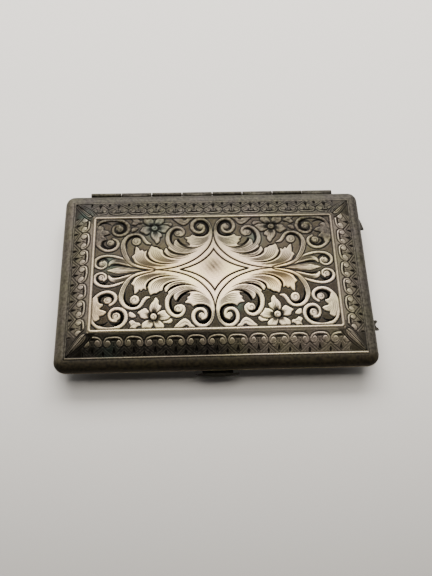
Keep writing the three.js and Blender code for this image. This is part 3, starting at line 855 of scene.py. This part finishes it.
def border_surface(side, on_base):
    long_side = side % 2 == 0
    reach = PANEL_HALF[0] if long_side else PANEL_HALF[1]
    across = PANEL_HALF[1] if long_side else PANEL_HALF[0]
    count = 13 if long_side else 7
    pitch = (2 * reach + (4.0 if long_side else 2.0)) / count

    def surface(i, j):
        w = j * BORDER_WIDE
        s = (2 * i - 1) * (reach + w)
        drift = 0.14 * np.sin(s * 0.37 + side) + 0.08 * np.sin(s * 1.3 + 2 * side)
        fold = (s + drift) / pitch + 0.5
        a = np.abs((fold - np.floor(fold)) - 0.5) * 2 * ARCH
        rise = w + 0.1 * np.sin(s * 0.5 + 3 * side)
        layers = [arches.sample(layer, a, rise) for layer in (arches.height, arches.oxide, arches.ground)]
        # the leaf on the mitre, in distances from the mitre line and along it
        off = ((reach + w) - np.abs(s)) / math.sqrt(2)
        along = w * math.sqrt(2)
        corner = [kite.sample(layer, off, along) for layer in (kite.height, kite.oxide, kite.ground)]
        clear = np.abs(s) - pitch * (count / 2)
        share = np.clip(np.maximum((2.6 - off) / 0.15, clear / 0.15), 0, 1)
        height, oxide, ground = (arch * (1 - share) + leaf * share for arch, leaf in zip(layers, corner))
        line = np.clip(1 - np.abs(w - 8.55) / 0.25, 0, 1) + np.clip(1 - np.abs(w - 0.15) / 0.3, 0, 1)
        plain = np.clip((w - 8.5) / 0.15, 0, 1) + np.clip((0.45 - w) / 0.15, 0, 1)
        plain = np.clip(plain, 0, 1)
        height = height * (1 - plain) - 0.1 * np.clip(line, 0, 1)
        height = height + 0.13 * np.sqrt(np.clip(1 - ((w - 9.0) / 0.28) ** 2, 0, 1))
        oxide = np.clip(oxide * (1 - plain) + 0.9 * line, 0, 1)
        ground = ground * (1 - plain) + 0.1 * plain
        out = across + w + height * math.sin(SLOPE)
        up = CASE_TOP - BORDER_FALL * w / BORDER_WIDE + height * math.cos(SLOPE)
        if on_base:
            up = CASE_TOP - up
        x, y = [(s, -out), (out, s), (-s, out), (-out, -s)][side]
        if on_base:
            x, y, up, oxide, ground = (np.flip(q, 0) for q in (x, y, up, oxide, ground))
        # tarnish with painted shade: each side has its own level for the light its slope reflects, the back
        # darkest; the lower part of the slope is painted darker; raised strokes are lighter, partly polish
        # and, most on the front, painted highlight; the outer strip on three sides and the mitre leaves are
        # darker
        local_tarnish_and_shade = (0.02, 0.41, 0.84, 0.40)[side] + 0.15 * np.clip((w - 3) / 4, 0, 1)
        local_tarnish_and_shade = local_tarnish_and_shade - (0.58, 0.22, 0.10, 0.24)[side] * np.clip(height / 0.07, 0, 1)
        local_tarnish_and_shade = local_tarnish_and_shade + (0.0, 0.5, 0.3, 0.5)[side] * np.clip((w - 8.4) / 0.2, 0, 1)
        local_tarnish_and_shade = local_tarnish_and_shade + 0.12 * share
        if side == 0:
            # painted shade over the left two thirds of the front, where the slope reflects the dark room; the
            # right third stays lighter
            local_tarnish_and_shade = local_tarnish_and_shade + 0.58 * np.clip((24 - s) / 26, 0, 1)
        green = 0.9 * np.exp(-((x + 54) ** 2 + (y - 27) ** 2) / 9)
        green = green + 0.8 * np.exp(-((x + 42) ** 2 + (y + 32) ** 2) / 16)
        rust = np.exp(-(((x + 54) ** 2 + (y - 33) ** 2) / 8))
        oxide = np.clip(oxide + 0.5 * rust, 0, 1)
        masks = {"oxide": oxide, "ground": ground, "age": local_tarnish_and_shade, "green": green}
        return np.stack([x, y, up], -1) / 1000, masks

    return surface


border_silver = silver_material("border_silver", 0.30)
for side, word in enumerate(("front", "right", "back", "left")):
    count = (594, 50) if side % 2 == 0 else (350, 50)
    strip = height_sheet(f"lid_border_{word}", count, border_surface(side, False), "lid", border_silver)
    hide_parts("lid_shell")

# ---- Lid edge and inside ----
# The rest of the pressed lid: the plain rounded edge below the border, turned in at the rim and darkest at
# the front, partly with grime and partly with painted shade, and the gilt-washed inside of the pan.

SHELL_HIGH = 7.5
SHEET = 0.8
LINE_HALF = (PANEL_HALF[0] + BORDER_WIDE, PANEL_HALF[1] + BORDER_WIDE)
EDGE_OUT = 4.4
EDGE_FALL = SHELL_HIGH - BORDER_FALL


def round_ring(half_x, half_y, radius, z, corner=12, side=48):
    """A level rectangle with round corners, from the middle of the right side round by the back."""
    points = []
    for k, (sx, sy) in enumerate(((1, 1), (-1, 1), (-1, -1), (1, -1))):
        for n in range(corner + 1):
            turn = (k + n / corner) * math.pi / 2
            x = sx * (half_x - radius) + radius * math.cos(turn)
            y = sy * (half_y - radius) + radius * math.sin(turn)
            points.append((x, y))
        nx, ny = ((-1, 1), (-1, -1), (1, -1), (1, 1))[k]
        start = points[-1]
        turn = (k + 1) * math.pi / 2
        end_x = nx * (half_x - radius) + radius * math.cos(turn)
        end_y = ny * (half_y - radius) + radius * math.sin(turn)
        for n in range(1, side):
            t = n / side
            points.append((start[0] + t * (end_x - start[0]), start[1] + t * (end_y - start[1])))
    return np.array([(x, y, z) for x, y in points]) / 1000


def skin(
    name, rings, material, body,
    cap_first=False, cap_last=False, masks=None, shut=False, mouth=None,
):
    """A smooth surface through rings of equal length, with one value of each mask for a ring.

    shut joins the last ring to the first, as on a moulding. mouth is the half length, bottom and top of an
    opening in the front wall.
    """
    count = len(rings[0])
    verts = np.concatenate(rings)
    faces = []
    levels = len(rings)
    for r in range(levels if shut else levels - 1):
        for n in range(count):
            a, b = r * count + n, r * count + (n + 1) % count
            up = ((r + 1) % levels) * count
            face = (a, b, up + (n + 1) % count, up + n)
            if mouth:
                x, y, z = verts[list(face)].T
                in_front = y.max() < -0.030 and np.abs(x).max() < mouth[0]
                if in_front and z.min() > mouth[1] and z.max() < mouth[2]:
                    continue
            faces.append(face)
    if cap_first:
        faces.append(tuple(reversed(range(count))))
    if cap_last:
        faces.append(tuple((levels - 1) * count + n for n in range(count)))
    mesh = bpy.data.meshes.new(name)
    mesh.from_pydata(verts.tolist(), [], faces)
    mesh.polygons.foreach_set("use_smooth", [True] * len(mesh.polygons))
    for label, values in (masks or {}).items():
        layer = mesh.attributes.new(label, "FLOAT", "POINT")
        spread = np.repeat(np.array(values, np.float32), count)
        # darker and browner along the front, partly grime and partly painted shade where the edge reflects
        # the dark room; darker along the back and lighter along the left
        front = np.clip((-verts[:, 1] * 1000 - 33) / 3, 0, 1)
        behind = np.clip((verts[:, 1] * 1000 - 33) / 3, 0, 1)
        left = np.clip((-verts[:, 0] * 1000 - 58) / 4, 0, 1) * (1 - front)
        if label == "oxide":
            spread = spread + 0.47 * front + 0.16 * behind - 0.05 * left
        elif label == "straw":
            spread = spread + 0.8 * front
        else:
            spread = spread - 0.06 * left
        layer.data.foreach_set("value", spread.astype(np.float32))
    mesh.materials.append(material)
    piece = add_piece(mesh)
    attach(piece, body)
    return piece


def edge_profile(steps=16):
    """Steps down the plain edge: how far out of the border's line, how far below it, and the share done."""
    for n in range(steps + 1):
        turn = n / steps * math.pi / 2
        yield EDGE_OUT * math.sin(turn), EDGE_FALL * (1 - math.cos(turn)), n / steps


def outer_levels(flip):
    """Rings of the outside from the border's line to the rim and over its lip, with masks for each ring."""
    rings, oxide, age = [], [], []

    def put(out, below, radius, dark, local_tarnish_and_shade):
        z = SHELL_HIGH - BORDER_FALL - below
        z = SHELL_HIGH - z if flip else SHELL_HIGH + 0.3 + z
        rings.append(round_ring(LINE_HALF[0] + out, LINE_HALF[1] + out, radius, z))
        oxide.append(dark)
        age.append(local_tarnish_and_shade)

    # the lowest rings are lighter: the rim is rubbed bright, and partly it is a painted highlight line along
    # it
    for out, below, share in edge_profile():
        dark = 0.55 if share == 0 else 0.24 - 0.12 * share
        put(out, below, 0.5 + 4.5 * share, dark, 0.0 if share < 0.93 else -0.2)
    if flip:
        # the base's rim stands out a hair and is rubbed bright, and is painted lighter still as a highlight
        # line under the lid
        put(EDGE_OUT + 0.16, EDGE_FALL - 0.10, 5.1, 0.0, -1.0)
        put(EDGE_OUT + 0.12, EDGE_FALL, 5.1, -0.5, -1.0)
    put(EDGE_OUT - 0.12, EDGE_FALL, 4.9, 0.0, -0.55)
    put(EDGE_OUT - SHEET + 0.1, EDGE_FALL, 4.3, 0.1, -0.4)
    put(EDGE_OUT - SHEET, EDGE_FALL - 0.1, 4.2, 0.4, 0.0)
    return rings, {"oxide": oxide, "age": age, "straw": [-1 if local_tarnish_and_shade < -0.3 else 0 for local_tarnish_and_shade in age]}


edge_silver = silver_material("edge_silver", 1.0, 0.2)
rings, masks = outer_levels(False)
lid_edge = skin("lid_edge", rings[::-1], edge_silver, "lid", masks={k: v[::-1] for k, v in masks.items()})
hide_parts("lid_shell")


def inner_levels(flip):
    """Rings of the inside of a pan, from the floor out to the rim; flip turns it over for the base."""
    rings = []

    def put(half_x, half_y, radius, z):
        rings.append(round_ring(half_x, half_y, radius, SHELL_HIGH - z if flip else SHELL_HIGH + 0.3 + z))

    put(PANEL_HALF[0] - 1.6, PANEL_HALF[1] - 1.6, 1.6, SHELL_HIGH - SHEET)
    put(PANEL_HALF[0] - 0.3, PANEL_HALF[1] - 0.3, 1.6, SHELL_HIGH - SHEET - 0.04)
    put(PANEL_HALF[0] + 0.6, PANEL_HALF[1] + 0.6, 1.6, SHELL_HIGH - SHEET - 0.35)
    for out, below, share in edge_profile():
        inset = SHEET * (0.4 + 0.6 * share)
        z = (SHELL_HIGH - BORDER_FALL - below) * (1 - SHEET / EDGE_FALL * (1 - share) * 0.95)
        radius = max(0.5 + 4.5 * share - SHEET * share, 0.3)
        put(LINE_HALF[0] + out - inset, LINE_HALF[1] + out - inset, radius, z)
    return rings


# gilt wash: thin gold over silver, rubbed through in places and dulled
gilt_wash, tap, sink = group_with(
    "gilt_wash",
    [("Place", "NodeSocketVector", None), ("Worn", "NodeSocketFloat", 0.4)],
    [("Colour", "NodeSocketColor"), ("Roughness", "NodeSocketFloat"), ("Height", "NodeSocketFloat")],
)
cloud = noise_node(gilt_wash, tap.outputs["Place"], 30.0, 4.0, 0.6)
fine = noise_node(gilt_wash, tap.outputs["Place"], 1400.0, 2.0, 0.6)
brush = gilt_wash.nodes.new("ShaderNodeMapping")
brush.inputs["Scale"].default_value = (60, 2400, 2400)
gilt_wash.links.new(tap.outputs["Place"], brush.inputs["Vector"])
streak = noise_node(gilt_wash, brush.outputs["Vector"], 1.0, 2.0, 0.6)
through = math_node(gilt_wash, "MULTIPLY", cloud, tap.outputs["Worn"], clamp=True)
gold = mix_node(gilt_wash, fine, (0.33, 0.195, 0.055, 1), (0.42, 0.265, 0.088, 1))
tone = mix_node(gilt_wash, through, gold, (0.18, 0.135, 0.078, 1))
gilt_wash.links.new(tone, sink.inputs["Colour"])
gilt_wash.links.new(math_node(gilt_wash, "MULTIPLY_ADD", streak, 0.22, 0.26), sink.inputs["Roughness"])
gilt_wash.links.new(streak, sink.inputs["Height"])


def gilt_material(name, worn_share, bump):
    material, tree, shader = new_material(name)
    shader.inputs["Metallic"].default_value = 1.0
    place = tree.nodes.new("ShaderNodeTexCoord")
    wash = tree.nodes.new("ShaderNodeGroup")
    wash.node_tree = gilt_wash
    wash.inputs["Worn"].default_value = worn_share
    tree.links.new(place.outputs["Object"], wash.inputs["Place"])
    tree.links.new(wash.outputs["Colour"], shader.inputs["Base Color"])
    tree.links.new(wash.outputs["Roughness"], shader.inputs["Roughness"])
    add_relief(tree, shader, wash.outputs["Height"], bump, 0.00005)
    return material


inside_gilt = gilt_material("inside_gilt", 0.55, 0.3)
lid_inside = skin("lid_inside", inner_levels(False), inside_gilt, "lid", cap_first=True)
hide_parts("lid_shell")

# ---- Base shell ----
# The same pan turned over, with the same border. The field it rests on is plain inside two cut lines, and
# rubbed brighter at its edge by the surfaces it has lain on. A slot in the front wall lets the push through.

for side, word in enumerate(("front", "right", "back", "left")):
    count = (396, 34) if side % 2 == 0 else (232, 34)
    strip = height_sheet(f"base_border_{word}", count, border_surface(side, True), "base", border_silver)
    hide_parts("base_shell")

rings, masks = outer_levels(True)
base_edge = skin("base_edge", rings, edge_silver, "base", masks=masks, mouth=(0.0075, 0.0049, 0.0066))
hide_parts("base_shell")
inside_mouth = (0.0075, 0.0045, 0.0069)
levels = inner_levels(True)[::-1]
base_inside = skin("base_inside", levels, inside_gilt, "base", cap_last=True, mouth=inside_mouth)
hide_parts("base_shell")


def under_surface(i, j):
    x = (1 - i * 2) * PANEL_HALF[0]
    y = (j * 2 - 1) * PANEL_HALF[1]
    gap = np.minimum(PANEL_HALF[0] - np.abs(x), PANEL_HALF[1] - np.abs(y))
    line = np.clip(1 - np.abs(gap - 1.6) / 0.35, 0, 1) + np.clip(1 - np.abs(gap - 2.6) / 0.3, 0, 1)
    rub = 0.25 * np.clip(1 - gap / 1.5, 0, 1)
    place = np.stack([x / 1000, y / 1000, 0.00012 * line], -1)
    return place, {"oxide": np.clip(line, 0, 1), "age": -rub}


under_silver = silver_material("under_silver", 0.45, 0.3)
base_panel = height_sheet("base_panel", (300, 154), under_surface, "base", under_silver)
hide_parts("base_shell")

# ---- Bezel ----
# A thin silver strip, drawn with a rounded top edge and soldered upright inside the base's rim. The lid
# closes over it and keeps it bright.

bright_silver = silver_material("bright_silver", 0.25, 0.1)
low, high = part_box("base_bezel")
hx, hy = high[0] * 1000, high[1] * 1000
z0, z1 = low[2] * 1000, high[2] * 1000
bezel = skin("bezel", [
    round_ring(hx, hy, 3.9, z0),
    round_ring(hx, hy, 3.9, z1 - 0.35),
    round_ring(hx - 0.1, hy - 0.1, 3.8, z1 - 0.1),
    round_ring(hx - 0.28, hy - 0.28, 3.6, z1),
    round_ring(hx - 0.5, hy - 0.5, 3.4, z1),
    round_ring(hx - 0.66, hy - 0.66, 3.3, z1 - 0.12),
    round_ring(hx - 0.7, hy - 0.7, 3.2, z1 - 0.4),
    round_ring(hx - 0.7, hy - 0.7, 3.2, z0),
], bright_silver, "base", shut=True)
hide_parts("base_bezel")

# ---- Hinge ----
# Eight tubes of rolled silver strip on one steel wire. They are soldered by turns to the base and to the lid,
# each by a short foot.

hinge_silver = silver_material("hinge_silver", 1.0, 0.2, oxide=0.3)
radius, bore_radius, sides = 0.0011, 0.00058, 36
foot_gap, foot_thick = 0.0002, 0.0009
wall_y = 0.0391 - 0.0003  # just inside the back wall, so the foot runs into it


def tube_loop(mesh, x, centre, reach):
    """A ring of points round the hinge line."""
    loop = []
    for n in range(sides):
        turn = 2 * math.pi * n / sides
        loop.append(mesh.verts.new((x, centre.y + reach * math.cos(turn), centre.z + reach * math.sin(turn))))
    return loop


for body in ("base", "lid"):
    for number in range(1, 5):
        node = f"{body}_knuckle_{number}"
        low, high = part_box(node)
        centre = Vector((0, high[1] - radius, (low[2] + high[2]) / 2))
        side = 1 if body == "lid" else -1
        # the tube with its ends eased and bored, then the foot that is soldered to the shell
        mesh = bmesh.new()
        stations = [(low[0], 0.88), (low[0] + 0.00012, 1.0), (high[0] - 0.00012, 1.0), (high[0], 0.88)]
        loops = [tube_loop(mesh, x, centre, radius * swell) for x, swell in stations]
        for a, b in zip(loops, loops[1:]):
            for n in range(sides):
                mesh.faces.new((a[n], b[n], b[(n + 1) % sides], a[(n + 1) % sides]))
        for x, loop, flip in ((low[0], loops[0], False), (high[0], loops[-1], True)):
            bore = tube_loop(mesh, x, centre, bore_radius)
            for n in range(sides):
                quad = (loop[n], loop[(n + 1) % sides], bore[(n + 1) % sides], bore[n])
                mesh.faces.new(quad if not flip else quad[::-1])
        near = centre.z + side * foot_gap
        far = near + side * foot_thick
        corners = []
        for x in (low[0] + 0.0001, high[0] - 0.0001):
            for y, z in ((wall_y, near), (centre.y, near), (centre.y, far), (wall_y, far)):
                corners.append(mesh.verts.new((x, y, z)))
        for quad in ((0, 1, 2, 3), (7, 6, 5, 4), (0, 4, 5, 1), (1, 5, 6, 2), (2, 6, 7, 3), (3, 7, 4, 0)):
            mesh.faces.new([corners[q] for q in quad])
        tube = add_piece(finish_mesh(f"{node}_tube", mesh, hinge_silver))
        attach(tube, body)
        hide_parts(node)


def crease(node_name, width, material, segments=3):
    """A CAD piece keeps its shape, gets its finish and has its sharp edges eased."""
    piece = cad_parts[node_name]
    piece.data.materials.clear()
    piece.data.materials.append(material)
    ease = piece.modifiers.new("eased", "BEVEL")
    ease.width = width
    ease.segments = segments
    ease.limit_method = "ANGLE"
    ease.angle_limit = math.radians(30)
    return piece


steel, tree, shader = new_material("spring_steel")
shader.inputs["Metallic"].default_value = 1.0
place = tree.nodes.new("ShaderNodeTexCoord")
blotch = noise_node(tree, place.outputs["Object"], 400.0, 4.0, 0.6)
rust = range_node(tree, blotch, 0.35, 0.7)
tone = mix_node(tree, rust, (0.33, 0.32, 0.31, 1), (0.19, 0.14, 0.10, 1))
tree.links.new(tone, shader.inputs["Base Color"])
tree.links.new(range_node(tree, blotch, 0.0, 1.0, 0.25, 0.6), shader.inputs["Roughness"])
crease("hinge_pin", 0.0001, steel)

# ---- Catch ----
# A long silver push in the front wall, on a steel leaf that is riveted to two soldered blocks. The push
# carries a hook that holds a ledge soldered in the lid.

low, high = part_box("push_button")
# the push is painted nearly black, as painted shade: it sits in the shade under the lid's rim
button_silver_painted_shade = silver_material("button_silver_painted_shade", 1.0, 0.2, oxide=0.75)
half = 0.0087
back, front = -0.04022, low[1]  # clear of the curved wall when pressed
mesh = bmesh.new()
loops = []
levels = [(0.0, 0.55), (0.06, 0.85), (0.18, 0.97), (0.5, 1.0), (0.82, 0.97), (0.94, 0.85), (1.0, 0.55)]
for share, swell in levels:
    z = low[2] + share * (high[2] - low[2])
    spread = [n / 48 * 2 - 1 for n in range(49)]
    bulge = [(front - back) * swell * (1 - abs(t) ** 2.2) ** 0.8 for t in spread]
    loop = [mesh.verts.new((half * t, back + out, z)) for t, out in zip(spread, bulge)]
    loop += [mesh.verts.new((half * t, back, z)) for t in spread[-2:0:-1]]
    loops.append(loop)
count = len(loops[0])
for a, b in zip(loops, loops[1:]):
    for n in range(count):
        mesh.faces.new((a[n], a[(n + 1) % count], b[(n + 1) % count], b[n]))
mesh.faces.new(loops[0][::-1])
mesh.faces.new(loops[-1])
stem_wide, stem_low, stem_high = 0.012, 0.0051, 0.0012
for v in bmesh.ops.create_cube(mesh, size=1)["verts"]:
    y = back + (high[1] - back) * (v.co.y + 0.5)
    v.co = Vector((v.co.x * stem_wide, y, stem_low + stem_high * (v.co.z + 0.5)))
bmesh.ops.remove_doubles(mesh, verts=mesh.verts, dist=1e-7)
push = add_piece(finish_mesh("push", mesh, button_silver_painted_shade))
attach(push, "button")
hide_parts("push_button")
for name in ("catch_hook", "spring_rivet_left", "spring_rivet_right"):
    crease(name, 0.00012, steel)

# the leaf bends between its rivets and the push, so each half is a piece of its own
low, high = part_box("latch_spring")
for word, side in (("left", -1), ("right", 1)):
    mesh = bmesh.new()
    loops = []
    for n in range(25):
        x = side * high[0] * n / 24
        edge = [(low[1], low[2] + 0.0001), (low[1] + 0.00004, low[2])]
        edge += [(high[1] - 0.00004, low[2]), (high[1], low[2] + 0.0001)]
        edge += [(y, low[2] + high[2] - z) for y, z in edge[::-1]]
        loops.append([mesh.verts.new((x, y, z)) for y, z in edge])
    for a, b in zip(loops, loops[1:]):
        for n in range(8):
            mesh.faces.new((a[n], a[(n + 1) % 8], b[(n + 1) % 8], b[n]))
    mesh.faces.new(loops[0])
    mesh.faces.new(loops[-1][::-1])
    leaf = add_piece(finish_mesh(f"spring_leaf_{word}", mesh, steel, smooth=False))
    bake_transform(leaf)
    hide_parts("latch_spring")
for name in ("catch_keeper", "spring_block_left", "spring_block_right"):
    crease(name, 0.00015, bright_silver)

# ---- Chain lugs ----
# Two cast ears that a wrist chain would hang from, soldered to the right end below the rim. Both are
# blackened, and worn round at their edges.

lug_silver = silver_material("lug_silver", 1.0, 0.3, oxide=0.6)
for name in ("rear_chain_lug", "front_chain_lug"):
    crease(name, 0.0003, lug_silver)

# ---- Needle pad ----
# A slip of dark red wool felt that needles are stuck in, laid loose in the floor of the base. It is a little
# crowned and uneven, and faded in patches.

felt, tree, shader = new_material("wool_felt")
shader.inputs["Roughness"].default_value = 0.95
shader.inputs["Sheen Weight"].default_value = 0.15
shader.inputs["Sheen Roughness"].default_value = 0.5
place = tree.nodes.new("ShaderNodeTexCoord")
fibre = noise_node(tree, place.outputs["Object"], 1600.0, 4.0, 0.7)
fade = noise_node(tree, place.outputs["Object"], 35.0, 3.0, 0.5)
dye = mix_node(tree, fibre, (0.024, 0.0017, 0.0034, 1), (0.082, 0.0066, 0.0108, 1))
faded = mix_node(tree, math_node(tree, "MULTIPLY", fade, 0.35), dye, (0.095, 0.034, 0.031, 1))
tree.links.new(faded, shader.inputs["Base Color"])
add_relief(tree, shader, fibre, 0.8, 0.0002)

low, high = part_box("needle_pad")


def pad_surface(i, j):
    x = (i * 2 - 1) * high[0]
    y = (j * 2 - 1) * high[1]
    gap = np.minimum(high[0] - np.abs(x), high[1] - np.abs(y))
    crown = 1 - np.exp(-gap / 0.0022)
    wave = 0.00010 * np.sin(x * 310 + 2 * np.sin(y * 260)) + 0.00006 * np.sin(y * 700 + x * 420)
    z = low[2] + (high[2] - low[2]) * (0.45 + 0.5 * crown) + wave * crown
    return np.stack([x, y, z], -1), {}


pad = height_sheet("felt_pad", (180, 90), pad_surface, "base", felt)
solid = pad.modifiers.new("thick", "SOLIDIFY")
solid.thickness = 0.0005
solid.offset = -1
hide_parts("needle_pad")

# ---- Pad frame ----
# A gilt moulding that holds the felt down, drawn with a bead at each edge and pressed into the floor of the
# base.

frame_gilt = gilt_material("frame_gilt", 0.3, 0.2)
low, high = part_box("pad_frame")
hx, hy = high[0] * 1000, high[1] * 1000
z0, z1 = low[2] * 1000, high[2] * 1000
rings = [round_ring(hx, hy, 1.5, z0)]
for n in range(25):
    across = n / 24 * 3.0
    bead = max(0, 1 - ((across - 0.5) / 0.45) ** 2) ** 0.5 + max(0, 1 - ((across - 2.5) / 0.45) ** 2) ** 0.5
    z = z0 + 0.22 + (z1 - z0 - 0.22) * max(bead, 0.25 * (1 - abs(across - 1.5) / 1.5))
    rings.append(round_ring(hx - across, hy - across, max(1.5 - across * 0.4, 0.3), z))
rings.append(round_ring(hx - 3.0, hy - 3.0, 0.4, z0))
pad_frame = skin("pad_moulding", rings, frame_gilt, "base", shut=True)
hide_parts("pad_frame")

# ---- Packet bar ----
# A gilt strip on two arms in the lid that holds needle packets. Its brackets are soldered to the lid, and a
# steel coil on each pin presses the bar down.

for name in ("packet_bar", "bar_bracket_left", "bar_bracket_right"):
    crease(name, 0.00018, frame_gilt)
for name in ("bar_pin_left", "bar_pin_right"):
    crease(name, 0.0001, steel)
for word in ("left", "right"):
    low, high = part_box(f"bar_spring_{word}")
    centre = ((low[1] + high[1]) / 2, (low[2] + high[2]) / 2)
    curve = bpy.data.curves.new(f"bar_coil_{word}", "CURVE")
    curve.dimensions = "3D"
    curve.bevel_depth = 0.00021
    curve.bevel_resolution = 3
    spline = curve.splines.new("POLY")
    turns, steps, coil_radius = 5, 20, 0.00102
    spline.points.add(turns * steps)
    for n in range(turns * steps + 1):
        turn = 2 * math.pi * n / steps
        x = low[0] + 0.00022 + (high[0] - low[0] - 0.00044) * n / (turns * steps)
        y = centre[0] + coil_radius * math.cos(turn)
        z = centre[1] + coil_radius * math.sin(turn)
        spline.points[n].co = (x, y, z, 1)
    curve.materials.append(steel)
    coil = add_piece(curve)
    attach(coil, "lid")
    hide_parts(f"bar_spring_{word}")
